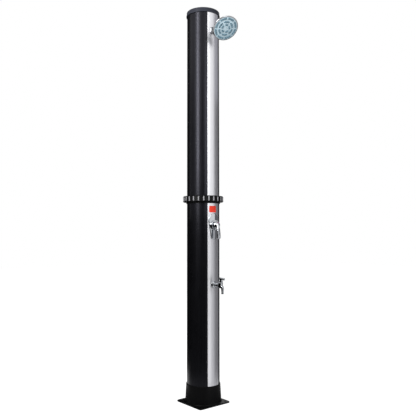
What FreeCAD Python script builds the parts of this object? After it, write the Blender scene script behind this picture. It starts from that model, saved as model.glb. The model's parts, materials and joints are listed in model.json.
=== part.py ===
import FreeCAD, Part
import math
import os

# Two-section solar shower post, in millimetres.
# Origin: centre of the foot's underside.  +Z is up, the front with its fittings faces -Y.

V = FreeCAD.Vector
UP = V(0, 0, 1)
FRONT = V(0, -1, 0)
BACK = V(0, 1, 0)

# ---------------------------------------------------------------- driving sizes

# clearances
SEAT = 0.1             # between pieces that are bolted or glued together
RUNNING = 0.3          # between pieces that turn on each other
TURRET_PLAY = 0.4      # between the mixer's turret and the lever's hub
GLUE = 0.3             # adhesive under the front panels

# tanks
TANK_RADIUS = 90.0
TANK_WALL = 4.0
TANK_BOTTOM = 15.0     # where the lower tube stands in the foot
JOINT_Z = 1107.0       # plane where the two tanks meet
TANK_TOP_DROP = 14.0   # top edge of the upper tube below the cap's top
END_DISC = 8.0         # thickness of the tank ends
END_SKIRT = 25.0       # how far their glued skirts reach into the tubes
END_SKIRT_WALL = 6.0
TOP_PLUG_DEPTH = 20.0  # top of the upper tank's end below the tube's edge

# front panels
PANEL_THICKNESS = 1.0
PANEL_HALF_ANGLE = 23.84
LABEL_WIDTH = 45.0
LABEL_HEIGHT = 35.0
LABEL_CORNER = 5.0
LABEL_THICKNESS = 0.3
LABEL_DROP = 53.5      # centre of the label below the joint
LABEL_X = -6.4

# foot
PLATE_MARGIN = 15.0    # how far the plate's sides stand out of the tank
PLATE_THICKNESS = 7.0
PLATE_CORNER = 12.0
PLATE_EDGE = 1.5
ANCHOR_INSET = 20.0
ANCHOR_HOLE_RADIUS = 5.5
BOOT_TOP_Z = 105.0
BOOT_WALL = 4.0
BOOT_FLARE = 4.5
BOOT_CHAMFER = 1.5
BOOT_FILLET = 6.0
FOOT_LEDGE = 12.0      # ring under the lower tube

# union between the tanks
NUT_HEIGHT = 32.0
NUT_REACH = 19.5       # top of the nut above the joint
NUT_WALL = 3.5
NUT_RIB_RISE = 5.0     # how far the grip ribs stand out
NUT_RIBS = 24
NUT_RIB_WIDTH = 7.0
NUT_RIM_RISE = 3.0     # flanges above and below the ribs
NUT_RIM_HEIGHT = 3.5
NUT_CHAMFER = 1.2
NUT_LIP = 6.5
UNION_WALL = 13.7      # thread radius beyond the tube's
COLLAR_WALL = 3.6      # plain collar under the thread
COLLAR_HEIGHT = 10.0
UNION_GAP = 0.5        # between the two end discs, bridged by the face ring
FACE_RING_INSET = 14.0
FACE_RING_SECTION = 1.75
PORT_X = 30.0          # hot port at +X, riser port at -X
PORT_BOSS_RADIUS = 15.0
PORT_BOSS_LENGTH = 22.0
SPIGOT_RADIUS = 9.0
SPIGOT_LENGTH = 16.0
SPIGOT_RING_SECTION = 1.0

# pipes in the tanks
PIPE_RADIUS = 8.0
PIPE_BORE_RADIUS = 6.0
PIPE_BEND = 24.0
PIPE_INSET = 28.0      # centre of the cold pipe from the front wall's inside
PORT_RUN = 40.0        # straight pipe under the ports
VALVE_RUN = 26.0       # straight pipe over the valve
HOT_INTAKE_DROP = 51.0 # below the upper tube's edge
TEE_RADIUS = 11.0
TEE_HALF_LENGTH = 20.0
FILL_TEE_Z = 300.0
FILL_TEE_REACH = 24.0

# top cap
CAP_TOP_Z = 2170.0
CAP_DEPTH = 27.3
CAP_LIP_HEIGHT = 8.0
CAP_LIP_WALL = 3.2
CAP_BAND_WALL = 1.3
CAP_EDGE = 1.0
CAP_ROUNDING = 4.0
CAP_WALL = 5.0
CAP_CROWN = 1.5

# mixer, heights above the panel are along -Y
MIXER_DROP = 141.0     # mixer's axis below the joint
ESCUTCHEON_TOP_RADIUS = 34.0
ESCUTCHEON_RISE = 30.0
ESCUTCHEON_END_RADIUS = 20.0
ESCUTCHEON_HANG = 60.0
ESCUTCHEON_THICKNESS = 5.0
ESCUTCHEON_ROUNDING = 2.5
NECK_RADIUS = 15.5
NECK_REACH = 10.0
VALVE_RADIUS = 20.0
VALVE_LENGTH = 38.0
CARTRIDGE_RADIUS = 12.0
CARTRIDGE_LENGTH = 34.0
CARTRIDGE_NOSE_RADIUS = 7.0
MIXER_NUT_WIDTH = 38.0
MIXER_NUT_HEIGHT = 4.5
SHROUD_RADIUS = 28.0
SHROUD_REACH = 17.0
SHROUD_LIP = 5.0
SHROUD_WALL = 4.5
SHROUD_ROUNDING = 3.0
PIVOT_REACH = 18.5
TURRET_RADIUS = 17.0
TURRET_WALL = 4.0
STEM_RADIUS = 4.0
STEM_BALL_RADIUS = 6.0
HUB_RADIUS = 22.0
HUB_EDGE_REACH = 27.5
# sections of the lever's arm: height above the pivot, front face, width, thickness
LEVER_SECTIONS = (
    (4.0, 39.6, 17.0, 9.0),
    (-14.0, 42.6, 18.0, 10.0),
    (-38.0, 45.0, 20.5, 10.5),
    (-60.0, 46.5, 22.5, 10.5),
    (-67.5, 46.4, 21.5, 9.5),
    (-72.5, 45.4, 16.5, 7.5),
    (-75.0, 44.0, 8.0, 4.5),
)
LEVER_CORNER = 0.38    # corner radius as a share of the thickness
GROOVE_TOP = -18.0
GROOVE_TOP_FACE = 43.2
GROOVE_LOW = -58.0
GROOVE_LOW_FACE = 46.4
GROOVE_WIDTH = 11.0
GROOVE_DEPTH = 3.0
LEVER_LIFT = 25.0
LEVER_SCREW_RADIUS = 1.5
STEM_GRIP = 3.4        # how far the stem reaches into the lever's hub

# foot tap
TAP_Z = 645.0
TAP_ROSETTE_RADIUS = 19.0
TAP_ROSETTE_REACH = 9.0
TAP_SHANK_RADIUS = 11.0
TAP_THREAD_RADIUS = 10.0
TAP_BORE_RADIUS = 5.0
TAP_SHANK_LENGTH = 14.0
TAP_CHAMBER_REACH = 53.0
TAP_CHAMBER_RADIUS = 12.5
TAP_CHAMBER_LOW = 13.0
TAP_CHAMBER_HIGH = 17.0
TAP_LEAN = 14.0        # the bonnet leans forward
TAP_SPOUT_FALL = 4.0   # start of the spout below the tap's axis
TAP_SPOUT_REACH = 71.0
TAP_SPOUT_BEND = 16.0
TAP_SPOUT_DROP = 38.0  # end of the spout below the tap's axis
TAP_SPOUT_RADIUS = 10.0
TAP_SPOUT_END_RADIUS = 6.0
TAP_NOZZLE_RADIUS = 6.8
TAP_NOZZLE_LENGTH = 7.0
TAP_BONNET_WIDTH = 20.0
TAP_BONNET_HEIGHT = 8.0
TAP_BONNET_NECK = 5.0
TAP_SPINDLE_RADIUS = 4.0
TAP_HANDLE_RADIUS = 11.5
TAP_HANDLE_HEIGHT = 12.0
TAP_HANDLE_LENGTH = 19.0
TAP_HANDLE_ARM = 9.0
TAP_HANDLE_ARM_WIDTH = 13.0
TAP_KNOB_RADIUS = 7.0
TAP_KNOB_DROP = 2.0
TAP_NUT_WIDTH = 30.0
TAP_NUT_HEIGHT = 6.0

# shower arm
ARM_DROP = 129.0       # bracket's axis below the cap's top
BRACKET_WIDTH = 46.0
BRACKET_HEIGHT = 33.0
BRACKET_CORNER = 8.0
BRACKET_REACH = 11.0
BRACKET_ROUNDING = 3.0
ARM_SHANK_RADIUS = 9.5
ARM_SHANK_LENGTH = 24.0
ARM_NUT_WIDTH = 28.0
ARM_NUT_HEIGHT = 6.0
ARM_RADIUS = 8.0
ARM_NECK_RADIUS = 6.0
ARM_BORE_RADIUS = 4.0
ARM_RISE = 30.0
ARM_DIP = 45.0
ARM_START_REACH = 3.0
ARM_BEND = 22.0
BALL_RADIUS = 11.0
BALL_REACH = 81.5      # in front of the panel
BALL_RISE = 10.2       # above the bracket's axis

# rose, along its own axis from the ball's centre
ROSE_TILT = 48.0
ROSE_TURN = -12.0
ROSE_FACE = 40.0
ROSE_RADIUS = 71.6
ROSE_WALL = 2.4
ROSE_RIM_FRONT = 41.2
ROSE_RIM_INNER = 65.6
ROSE_RIM_EDGE = 37.6   # where the rim is widest
ROSE_RIM_BACK = 33.2
ROSE_RIM_TAPER = 2.6
ROSE_SHOULDER = 21.0
ROSE_NECK_RADIUS = 13.8
ROSE_NECK_START = 8.2
ROSE_WAIST_RADIUS = 17.0
ROSE_BORE_RADIUS = 8.0
FACE_THICKNESS = 3.0
FACE_RECESS = 0.3
PAD_RISE = 1.6
PAD_WIDTH = 9.6
INNER_PADS = 5
INNER_PAD_RADIUS = 20.8
INNER_PAD_LENGTH = 19.0
INNER_PAD_ANGLE = 23.0
MIDDLE_PADS = 6
MIDDLE_PAD_RADIUS = 37.0
MIDDLE_PAD_LENGTH = 31.5
MIDDLE_PAD_ANGLE = 41.0
OUTER_PADS = 8
OUTER_PAD_RADIUS = 56.2
OUTER_PAD_LENGTH = 38.0
OUTER_PAD_ANGLE = 34.0
SEAT_RING_WALL = 1.8
SEAT_RING_FRONT = 4.5
LIP_ANGLE = 56.0       # the nut's rear lip, measured from the arm
SWIVEL_NUT_RADIUS = 17.5
SWIVEL_NUT_FRONT = 17.0
SWIVEL_NUT_GRIPS = 12
SWIVEL_GRIP_RADIUS = 2.2

# inlet and drain at the rear
INLET_Z = 190.0
DRAIN_Z = 140.0
INLET_THREAD_RADIUS = 9.5
INLET_FLANGE_RADIUS = 13.0
INLET_FLANGE = 5.0
INLET_TAIL_RADIUS = 10.48   # half-inch pipe thread
INLET_TAIL_LENGTH = 15.0
INLET_TAIL_CHAMFER = 1.0
INLET_NUT_WIDTH = 26.0
DRAIN_THREAD_RADIUS = 8.0
DRAIN_HEAD_RADIUS = 12.0
DRAIN_HEAD = 8.0
DRAIN_SLOT = 3.0
REAR_NUT_HEIGHT = 6.0
WASHER = 2.0

# ---------------------------------------------------------------- derived places

TANK_BORE = TANK_RADIUS - TANK_WALL
TANK_TOP = CAP_TOP_Z - TANK_TOP_DROP
PANEL_INNER = TANK_RADIUS + GLUE
PANEL_FACE = PANEL_INNER + PANEL_THICKNESS
PLATE_SIDE = 2 * (TANK_RADIUS + PLATE_MARGIN)
BOOT_TOP_RADIUS = TANK_RADIUS + BOOT_WALL
BOOT_BASE_RADIUS = BOOT_TOP_RADIUS + BOOT_FLARE
UNION_THREAD_RADIUS = TANK_RADIUS + UNION_WALL
NUT_CORE_RADIUS = UNION_THREAD_RADIUS + RUNNING + NUT_WALL
NUT_TOP = JOINT_Z + NUT_REACH
NUT_BOTTOM = NUT_TOP - NUT_HEIGHT
NUT_LIP_UNDER = NUT_TOP - NUT_LIP
THREAD_BOTTOM = NUT_BOTTOM + 5 * RUNNING
HEAD_SKIRT_BOTTOM = THREAD_BOTTOM - COLLAR_HEIGHT
LOWER_TUBE_TOP = JOINT_Z - END_DISC - UNION_GAP / 2 - SEAT
UPPER_TUBE_BOTTOM = JOINT_Z + END_DISC + UNION_GAP / 2 + SEAT
FLANGE_TOP = NUT_LIP_UNDER - RUNNING
PIPE_FORWARD = TANK_BORE - PIPE_INSET
MIXER_Z = JOINT_Z - MIXER_DROP
ESCUTCHEON_FACE = PANEL_FACE + ESCUTCHEON_THICKNESS
PIVOT = V(0, -(PANEL_FACE + PIVOT_REACH), MIXER_Z)
ARM_Z = CAP_TOP_Z - ARM_DROP
BALL = V(0, -(PANEL_FACE + BALL_REACH), ARM_Z + BALL_RISE)


# ---------------------------------------------------------------- tools for outlines

def xz(point):
    return V(point[0], 0, point[1])


def outline(start, *steps):
    """Closed face in the XZ plane.  A step is a point, or (middle, end) of an arc."""
    edges = []
    here = start
    for step in steps + (start,):
        if isinstance(step[0], tuple):
            edges.append(Part.Arc(xz(here), xz(step[0]), xz(step[1])).toShape())
            here = step[1]
        else:
            if (xz(step) - xz(here)).Length > 1e-6:
                edges.append(Part.makeLine(xz(here), xz(step)))
            here = step
    return Part.Face(Part.Wire(edges))


def turned(start, *steps):
    """Solid of revolution about Z from a closed outline of (radius, height) points."""
    return outline(start, *steps).revolve(V(0, 0, 0), UP, 360)


def corner_arc(centre, radius, angle):
    """Point on a circle in the outline's plane, with the angle in degrees."""
    turn = math.radians(angle)
    return (centre[0] + radius * math.cos(turn), centre[1] + radius * math.sin(turn))


def cylinder(radius, low, high):
    return Part.makeCylinder(radius, high - low, V(0, 0, low))


def ring(outer, inner, low, high):
    return cylinder(outer, low, high).cut(cylinder(inner, low, high))


def hexagon(width, low, high, bore):
    """Hexagon nut with the given width across its flats."""
    radius = width / math.sqrt(3)
    corners = [V(radius * math.cos(math.radians(60 * i)), radius * math.sin(math.radians(60 * i)), low)
               for i in range(7)]
    body = Part.Face(Part.makePolygon(corners)).extrude(V(0, 0, high - low))
    chamfer = (radius - width / 2) * 0.8
    limit = turned((0, low), (radius, low), (radius, high - chamfer), (radius - chamfer, high), (0, high))
    return body.common(limit).cut(cylinder(bore, low, high))


def rounded_rectangle(width, depth, corner, low, high):
    """Prism with rounded corners, centred on the Z axis."""
    body = Part.makeBox(width, depth, high - low, V(-width / 2, -depth / 2, low))
    upright = [edge for edge in body.Edges if abs(edge.tangentAt(edge.FirstParameter).z) > 0.99]
    return body.makeFillet(corner, upright)


def facing(shape, direction, origin):
    """Turns a shape modelled along +Z so that it points in the given direction."""
    moved = shape.copy()
    moved.Placement = FreeCAD.Placement(origin, FreeCAD.Rotation(UP, direction)).multiply(moved.Placement)
    return moved


def forward(shape, height):
    """Local Z becomes the distance in front of the post's axis, local Y stays up."""
    return facing(shape, FRONT, V(0, 0, height))


def rearward(shape, height):
    return facing(shape, BACK, V(0, 0, height))


def post_cylinder(radius):
    """Cylinder about the post's axis over its whole height."""
    return cylinder(radius, 0, CAP_TOP_Z)


def bent_wire(points, bend):
    """Straight runs joined by tangent arcs of one radius."""
    edges = []
    here = points[0]
    for before, corner, after in zip(points, points[1:], points[2:]):
        inward = (before - corner).normalize()
        outward = (after - corner).normalize()
        half_turn = (math.pi - inward.getAngle(outward)) / 2
        reach = bend * math.tan(half_turn)
        first = corner + inward * reach
        last = corner + outward * reach
        middle_way = (inward + outward).normalize()
        middle = corner + middle_way * (bend / math.cos(half_turn) - bend)
        if (first - here).Length > 1e-6:
            edges.append(Part.makeLine(here, first))
        edges.append(Part.Arc(first, middle, last).toShape())
        here = last
    edges.append(Part.makeLine(here, points[-1]))
    return Part.Wire(edges)


def rod_along(points, radius, bend):
    """Round rod that follows straight runs and tangent arcs."""
    start = points[0]
    way = (points[1] - points[0]).normalize()
    section = Part.Wire(Part.makeCircle(radius, start, way))
    return bent_wire(points, bend).makePipeShell([section], True, False)


def hose(points, radius, bore, bend):
    return rod_along(points, radius, bend).cut(rod_along(points, bore, bend))


# ---------------------------------------------------------------- foot and tanks

def foot():
    plate = rounded_rectangle(PLATE_SIDE, PLATE_SIDE, PLATE_CORNER, 0, PLATE_THICKNESS)
    rim = [edge for edge in plate.Edges
           if edge.BoundBox.ZMin > PLATE_THICKNESS - 0.01]
    plate = plate.makeChamfer(PLATE_EDGE, rim)
    fillet_centre = (BOOT_BASE_RADIUS + BOOT_FILLET, PLATE_THICKNESS + BOOT_FILLET)
    boot = turned(
        (0, 0),
        (fillet_centre[0], 0),
        (fillet_centre[0], PLATE_THICKNESS),
        (corner_arc(fillet_centre, BOOT_FILLET, 225), (BOOT_BASE_RADIUS, fillet_centre[1])),
        (BOOT_TOP_RADIUS, BOOT_TOP_Z - BOOT_CHAMFER),
        (BOOT_TOP_RADIUS - BOOT_CHAMFER, BOOT_TOP_Z),
        (0, BOOT_TOP_Z))
    body = plate.fuse(boot)
    body = body.cut(cylinder(TANK_RADIUS - FOOT_LEDGE, 0, TANK_BOTTOM))
    body = body.cut(cylinder(TANK_RADIUS + SEAT, TANK_BOTTOM - SEAT, BOOT_TOP_Z))
    half = PLATE_SIDE / 2 - ANCHOR_INSET
    for x in (-half, half):
        for y in (-half, half):
            hole = cylinder(ANCHOR_HOLE_RADIUS, 0, PLATE_THICKNESS)
            hole.translate(V(x, y, 0))
            body = body.cut(hole)
    return body


def hole_front(radius, height):
    """Round hole through the front wall and whatever lies on it."""
    return forward(cylinder(radius, TANK_BORE / 2, PANEL_FACE * 1.3), height)


def hole_rear(radius, height):
    return rearward(cylinder(radius, TANK_BORE / 2, PANEL_FACE * 1.3), height)


def lower_tank():
    tube = ring(TANK_RADIUS, TANK_BORE, TANK_BOTTOM, LOWER_TUBE_TOP)
    tube = tube.cut(hole_front(NECK_RADIUS + SEAT, MIXER_Z))
    tube = tube.cut(hole_front(TAP_THREAD_RADIUS + SEAT, TAP_Z))
    tube = tube.cut(hole_rear(INLET_THREAD_RADIUS + SEAT, INLET_Z))
    return tube.cut(hole_rear(DRAIN_THREAD_RADIUS + SEAT, DRAIN_Z))


def upper_tank():
    tube = ring(TANK_RADIUS, TANK_BORE, UPPER_TUBE_BOTTOM, TANK_TOP)
    return tube.cut(hole_front(ARM_SHANK_RADIUS + SEAT, ARM_Z))


def end_plug(disc_bottom, skirt_down):
    """Glued end of a tank tube: a disc with a skirt inside the tube."""
    outer = TANK_BORE - SEAT
    inner = outer - END_SKIRT_WALL
    disc = cylinder(outer, disc_bottom, disc_bottom + END_DISC)
    if skirt_down:
        return disc.fuse(ring(outer, inner, disc_bottom - END_SKIRT, disc_bottom)).removeSplitter()
    top = disc_bottom + END_DISC
    return disc.fuse(ring(outer, inner, top, top + END_SKIRT)).removeSplitter()


def lower_tank_floor():
    return end_plug(TANK_BOTTOM + SEAT, False)


def upper_tank_roof():
    return end_plug(TANK_TOP - TOP_PLUG_DEPTH - END_DISC, True)


def curved_strip(inner, outer, half_angle, low, high):
    """Part of a tube's wall, centred on the front."""
    edge = math.radians(half_angle)
    left_in = (-inner * math.sin(edge), -inner * math.cos(edge))
    left_out = (-outer * math.sin(edge), -outer * math.cos(edge))
    points = [V(left_in[0], left_in[1], low), V(0, -inner, low), V(-left_in[0], left_in[1], low),
              V(-left_out[0], left_out[1], low), V(0, -outer, low), V(left_out[0], left_out[1], low)]
    wire = Part.Wire([
        Part.Arc(points[0], points[1], points[2]).toShape(),
        Part.makeLine(points[2], points[3]),
        Part.Arc(points[3], points[4], points[5]).toShape(),
        Part.makeLine(points[5], points[0])])
    return Part.Face(wire).extrude(V(0, 0, high - low))


def lower_front_panel():
    panel = curved_strip(PANEL_INNER, PANEL_FACE, PANEL_HALF_ANGLE,
                         BOOT_TOP_Z + SEAT, HEAD_SKIRT_BOTTOM - SEAT)
    panel = panel.cut(hole_front(NECK_RADIUS + SEAT, MIXER_Z))
    return panel.cut(hole_front(TAP_THREAD_RADIUS + SEAT, TAP_Z))


def upper_front_panel():
    panel = curved_strip(PANEL_INNER, PANEL_FACE, PANEL_HALF_ANGLE, FLANGE_TOP + SEAT, TANK_TOP)
    return panel.cut(hole_front(ARM_SHANK_RADIUS + SEAT, ARM_Z))


def label():
    """Plain sticker on the lower panel, under the union."""
    back = PANEL_FACE + SEAT
    sheet = post_cylinder(back + LABEL_THICKNESS).cut(post_cylinder(back))
    patch = rounded_rectangle(LABEL_WIDTH, LABEL_HEIGHT, LABEL_CORNER, TANK_RADIUS / 2, TANK_RADIUS * 1.2)
    patch = forward(patch, JOINT_Z - LABEL_DROP)
    patch.translate(V(LABEL_X, 0, 0))
    return sheet.common(patch)


# ---------------------------------------------------------------- union of the tanks

def port_places():
    return (V(PORT_X, 0, 0), V(-PORT_X, 0, 0))


def at_ports(shape):
    """The same shape at both ports, as separate solids."""
    copies = []
    for place in port_places():
        copy = shape.copy()
        copy.translate(place)
        copies.append(copy)
    return copies


def lower_tank_head():
    """Threaded collar and pressure disc glued over the lower tube's top edge."""
    face = JOINT_Z - UNION_GAP / 2
    under = face - END_DISC
    inner_skirt = TANK_BORE - SEAT
    body = turned(
        (0, face),
        (UNION_THREAD_RADIUS, face),
        (UNION_THREAD_RADIUS, THREAD_BOTTOM),
        (TANK_RADIUS + COLLAR_WALL, THREAD_BOTTOM),
        (TANK_RADIUS + COLLAR_WALL, HEAD_SKIRT_BOTTOM),
        (TANK_RADIUS + SEAT, HEAD_SKIRT_BOTTOM),
        (TANK_RADIUS + SEAT, under),
        (inner_skirt, under),
        (inner_skirt, under - END_SKIRT),
        (inner_skirt - END_SKIRT_WALL, under - END_SKIRT),
        (inner_skirt - END_SKIRT_WALL, under),
        (0, under))
    socket_floor = face - SPIGOT_LENGTH - SEAT
    for boss in at_ports(cylinder(PORT_BOSS_RADIUS, under - PORT_BOSS_LENGTH, under)):
        body = body.fuse(boss)
    for socket in at_ports(cylinder(SPIGOT_RADIUS + SEAT, socket_floor, face)):
        body = body.cut(socket)
    for bore in at_ports(cylinder(PIPE_BORE_RADIUS, under - PORT_BOSS_LENGTH, face)):
        body = body.cut(bore)
    pipe_end = under - PORT_BOSS_LENGTH + PIPE_RADIUS
    for seat in at_ports(cylinder(PIPE_RADIUS + SEAT, under - PORT_BOSS_LENGTH, pipe_end)):
        body = body.cut(seat)
    middle = TANK_RADIUS - FACE_RING_INSET
    half = FACE_RING_SECTION + SEAT
    groove = ring(middle + half, middle - half, face - (2 * FACE_RING_SECTION - UNION_GAP), face)
    return body.cut(groove).removeSplitter()


def upper_tank_base():
    """Clamp flange and pressure disc glued over the upper tube's bottom edge."""
    face = JOINT_Z + UNION_GAP / 2
    over = face + END_DISC
    inner_skirt = TANK_BORE - SEAT
    flange = UNION_THREAD_RADIUS - 1.5
    body = turned(
        (0, face),
        (flange, face),
        (flange, FLANGE_TOP),
        (TANK_RADIUS + SEAT, FLANGE_TOP),
        (TANK_RADIUS + SEAT, over),
        (inner_skirt, over),
        (inner_skirt, over + END_SKIRT),
        (inner_skirt - END_SKIRT_WALL, over + END_SKIRT),
        (inner_skirt - END_SKIRT_WALL, over),
        (0, over))
    for boss in at_ports(cylinder(PORT_BOSS_RADIUS, over, over + PORT_BOSS_LENGTH)):
        body = body.fuse(boss)
    for spigot in at_ports(cylinder(SPIGOT_RADIUS, face - SPIGOT_LENGTH, face)):
        body = body.fuse(spigot)
    for bore in at_ports(cylinder(PIPE_BORE_RADIUS, face - SPIGOT_LENGTH, over + PORT_BOSS_LENGTH)):
        body = body.cut(bore)
    pipe_end = over + PORT_BOSS_LENGTH - PIPE_RADIUS
    for seat in at_ports(cylinder(PIPE_RADIUS + SEAT, pipe_end, over + PORT_BOSS_LENGTH)):
        body = body.cut(seat)
    for groove in at_ports(spigot_groove()):
        body = body.cut(groove)
    return body.removeSplitter()


def spigot_ring_z():
    return JOINT_Z - SPIGOT_LENGTH * 0.6


def spigot_groove():
    half = SPIGOT_RING_SECTION + SEAT / 2
    depth = 2 * SPIGOT_RING_SECTION - SEAT
    return ring(SPIGOT_RADIUS + 1, SPIGOT_RADIUS - depth, spigot_ring_z() - half, spigot_ring_z() + half)


def spigot_rings():
    ring_radius = SPIGOT_RADIUS + SEAT - SPIGOT_RING_SECTION
    return Part.makeCompound(at_ports(
        Part.makeTorus(ring_radius, SPIGOT_RING_SECTION, V(0, 0, spigot_ring_z()))))


def face_ring():
    height = JOINT_Z + UNION_GAP / 2 - FACE_RING_SECTION
    return Part.makeTorus(TANK_RADIUS - FACE_RING_INSET, FACE_RING_SECTION, V(0, 0, height))


def union_nut():
    """Hand nut with half-round grip ribs between two rims; it clamps the tanks together."""
    thread = UNION_THREAD_RADIUS + RUNNING
    lip = PANEL_FACE + 2 * RUNNING
    rim = NUT_CORE_RADIUS + NUT_RIM_RISE
    edge = NUT_CHAMFER
    low = NUT_BOTTOM + NUT_RIM_HEIGHT
    high = NUT_TOP - NUT_RIM_HEIGHT
    body = turned(
        (thread, NUT_BOTTOM),
        (rim - edge, NUT_BOTTOM),
        (rim, NUT_BOTTOM + edge),
        (rim, low - edge),
        (NUT_CORE_RADIUS, low),
        (NUT_CORE_RADIUS, high),
        (rim, high + edge),
        (rim, NUT_TOP - edge),
        (rim - edge, NUT_TOP),
        (lip, NUT_TOP),
        (lip, NUT_LIP_UNDER),
        (thread, NUT_LIP_UNDER))
    return body.multiFuse(grip_ribs(low - edge, high + edge)).removeSplitter()


def grip_ribs(low, high):
    """Half-round bars round the nut, all of one section."""
    round_radius = NUT_RIB_WIDTH / 2
    root = NUT_CORE_RADIUS - NUT_WALL / 2
    crown = NUT_CORE_RADIUS + NUT_RIB_RISE - round_radius
    section = Part.Face(Part.Wire([
        Part.makeLine(V(root, round_radius, low), V(root, -round_radius, low)),
        Part.makeLine(V(root, -round_radius, low), V(crown, -round_radius, low)),
        Part.Arc(V(crown, -round_radius, low), V(crown + round_radius, 0, low),
                 V(crown, round_radius, low)).toShape(),
        Part.makeLine(V(crown, round_radius, low), V(root, round_radius, low))]))
    bar = section.extrude(V(0, 0, high - low))
    ribs = []
    for i in range(NUT_RIBS):
        rib = bar.copy()
        rib.rotate(V(0, 0, 0), UP, 360.0 / NUT_RIBS * (i + 0.5))
        ribs.append(rib)
    return ribs


def top_cap():
    wall_in = PANEL_FACE + SEAT
    lip = PANEL_FACE + CAP_LIP_WALL
    band = PANEL_FACE + CAP_BAND_WALL
    skirt = TANK_BORE - SEAT
    bottom = CAP_TOP_Z - CAP_DEPTH
    lip_top = bottom + CAP_LIP_HEIGHT
    shoulder = CAP_TOP_Z - CAP_CROWN - CAP_ROUNDING
    round_centre = (band - CAP_ROUNDING, shoulder)
    under = CAP_TOP_Z - CAP_CROWN - CAP_WALL
    return turned(
        (0, under),
        (skirt - CAP_WALL, under),
        (skirt - CAP_WALL, under - CAP_LIP_HEIGHT),
        (skirt, under - CAP_LIP_HEIGHT),
        (skirt, TANK_TOP + SEAT),
        (wall_in, TANK_TOP + SEAT),
        (wall_in, bottom),
        (lip - CAP_EDGE, bottom),
        (lip, bottom + CAP_EDGE),
        (lip, lip_top - CAP_EDGE),
        (band, lip_top),
        (band, shoulder),
        (corner_arc(round_centre, CAP_ROUNDING, 45), (round_centre[0], shoulder + CAP_ROUNDING)),
        (0, CAP_TOP_Z))


# ---------------------------------------------------------------- pipes in the tanks

def riser_corner():
    """Where the riser turns off the port's line towards the arm's shank."""
    return V(-PORT_X, 0, ARM_Z - PIPE_FORWARD)


def valve_port(side, height):
    return V(side * VALVE_RADIUS / 2, -PIPE_FORWARD, height)


def lower_pipe(side):
    """From one of the valve's upper ports to the union's port on the same side."""
    top = JOINT_Z - UNION_GAP / 2 - END_DISC - PORT_BOSS_LENGTH + PIPE_RADIUS
    low = MIXER_Z + VALVE_RADIUS + PIPE_RADIUS
    start = valve_port(side, low)
    port = V(side * PORT_X, 0, top)
    return hose([start, start + V(0, 0, VALVE_RUN), port - V(0, 0, PORT_RUN), port],
                PIPE_RADIUS, PIPE_BORE_RADIUS, PIPE_BEND)


def hot_pipe_lower():
    return lower_pipe(1)


def riser_lower():
    return lower_pipe(-1)


def upper_pipe_start():
    return JOINT_Z + UNION_GAP / 2 + END_DISC + PORT_BOSS_LENGTH - PIPE_RADIUS


def hot_pipe_upper():
    """Open pipe that draws the hottest water from the top of the upper tank."""
    pipe = ring(PIPE_RADIUS, PIPE_BORE_RADIUS, upper_pipe_start(), TANK_TOP - HOT_INTAKE_DROP)
    pipe.translate(V(PORT_X, 0, 0))
    return pipe


def riser_upper():
    end = V(0, -(TANK_BORE - ARM_SHANK_LENGTH - SEAT), ARM_Z)
    return hose([V(-PORT_X, 0, upper_pipe_start()), riser_corner(), V(0, 0, ARM_Z), end],
                PIPE_RADIUS, PIPE_BORE_RADIUS, PIPE_BEND)


def cold_pipe():
    """From the rear inlet forward and up to the mixer's lower port."""
    start = V(0, TANK_BORE - REAR_NUT_HEIGHT - WASHER - PIPE_RADIUS, INLET_Z)
    end = V(0, -PIPE_FORWARD, MIXER_Z - VALVE_RADIUS - PIPE_RADIUS)
    pipe = hose([start, V(0, -PIPE_FORWARD, INLET_Z), end], PIPE_RADIUS, PIPE_BORE_RADIUS, PIPE_BEND)
    pipe = pipe.cut(forward(cylinder(TAP_BORE_RADIUS, PIPE_FORWARD, TANK_BORE), TAP_Z))
    return pipe.cut(forward(cylinder(TAP_BORE_RADIUS, 0, PIPE_FORWARD), FILL_TEE_Z))


def tee_body(height):
    return ring(TEE_RADIUS, PIPE_RADIUS + SEAT, height - TEE_HALF_LENGTH, height + TEE_HALF_LENGTH)


def tap_tee():
    """Sleeve on the cold pipe with a branch to the foot tap's shank."""
    reach = TANK_BORE - TAP_SHANK_LENGTH
    sleeve = tee_body(TAP_Z)
    branch = forward(ring(TAP_THREAD_RADIUS, TAP_BORE_RADIUS, 0, reach - PIPE_FORWARD - SEAT), TAP_Z)
    tee = sleeve.fuse(branch)
    tee = tee.cut(cylinder(PIPE_RADIUS + SEAT, TAP_Z - TEE_HALF_LENGTH, TAP_Z + TEE_HALF_LENGTH))
    tee = tee.cut(forward(cylinder(TAP_BORE_RADIUS, 0, reach), TAP_Z))
    tee.translate(V(0, -PIPE_FORWARD, 0))
    return tee.removeSplitter()


def fill_tee():
    """Sleeve on the cold pipe with an open side that fills the tank from below."""
    sleeve = tee_body(FILL_TEE_Z)
    branch = rearward(cylinder(TEE_RADIUS, 0, FILL_TEE_REACH), FILL_TEE_Z)
    tee = sleeve.fuse(branch)
    tee = tee.cut(cylinder(PIPE_RADIUS + SEAT, FILL_TEE_Z - TEE_HALF_LENGTH, FILL_TEE_Z + TEE_HALF_LENGTH))
    tee = tee.cut(rearward(cylinder(PIPE_BORE_RADIUS, 0, FILL_TEE_REACH), FILL_TEE_Z))
    tee.translate(V(0, -PIPE_FORWARD, 0))
    return tee.removeSplitter()


# ---------------------------------------------------------------- mixer

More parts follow.
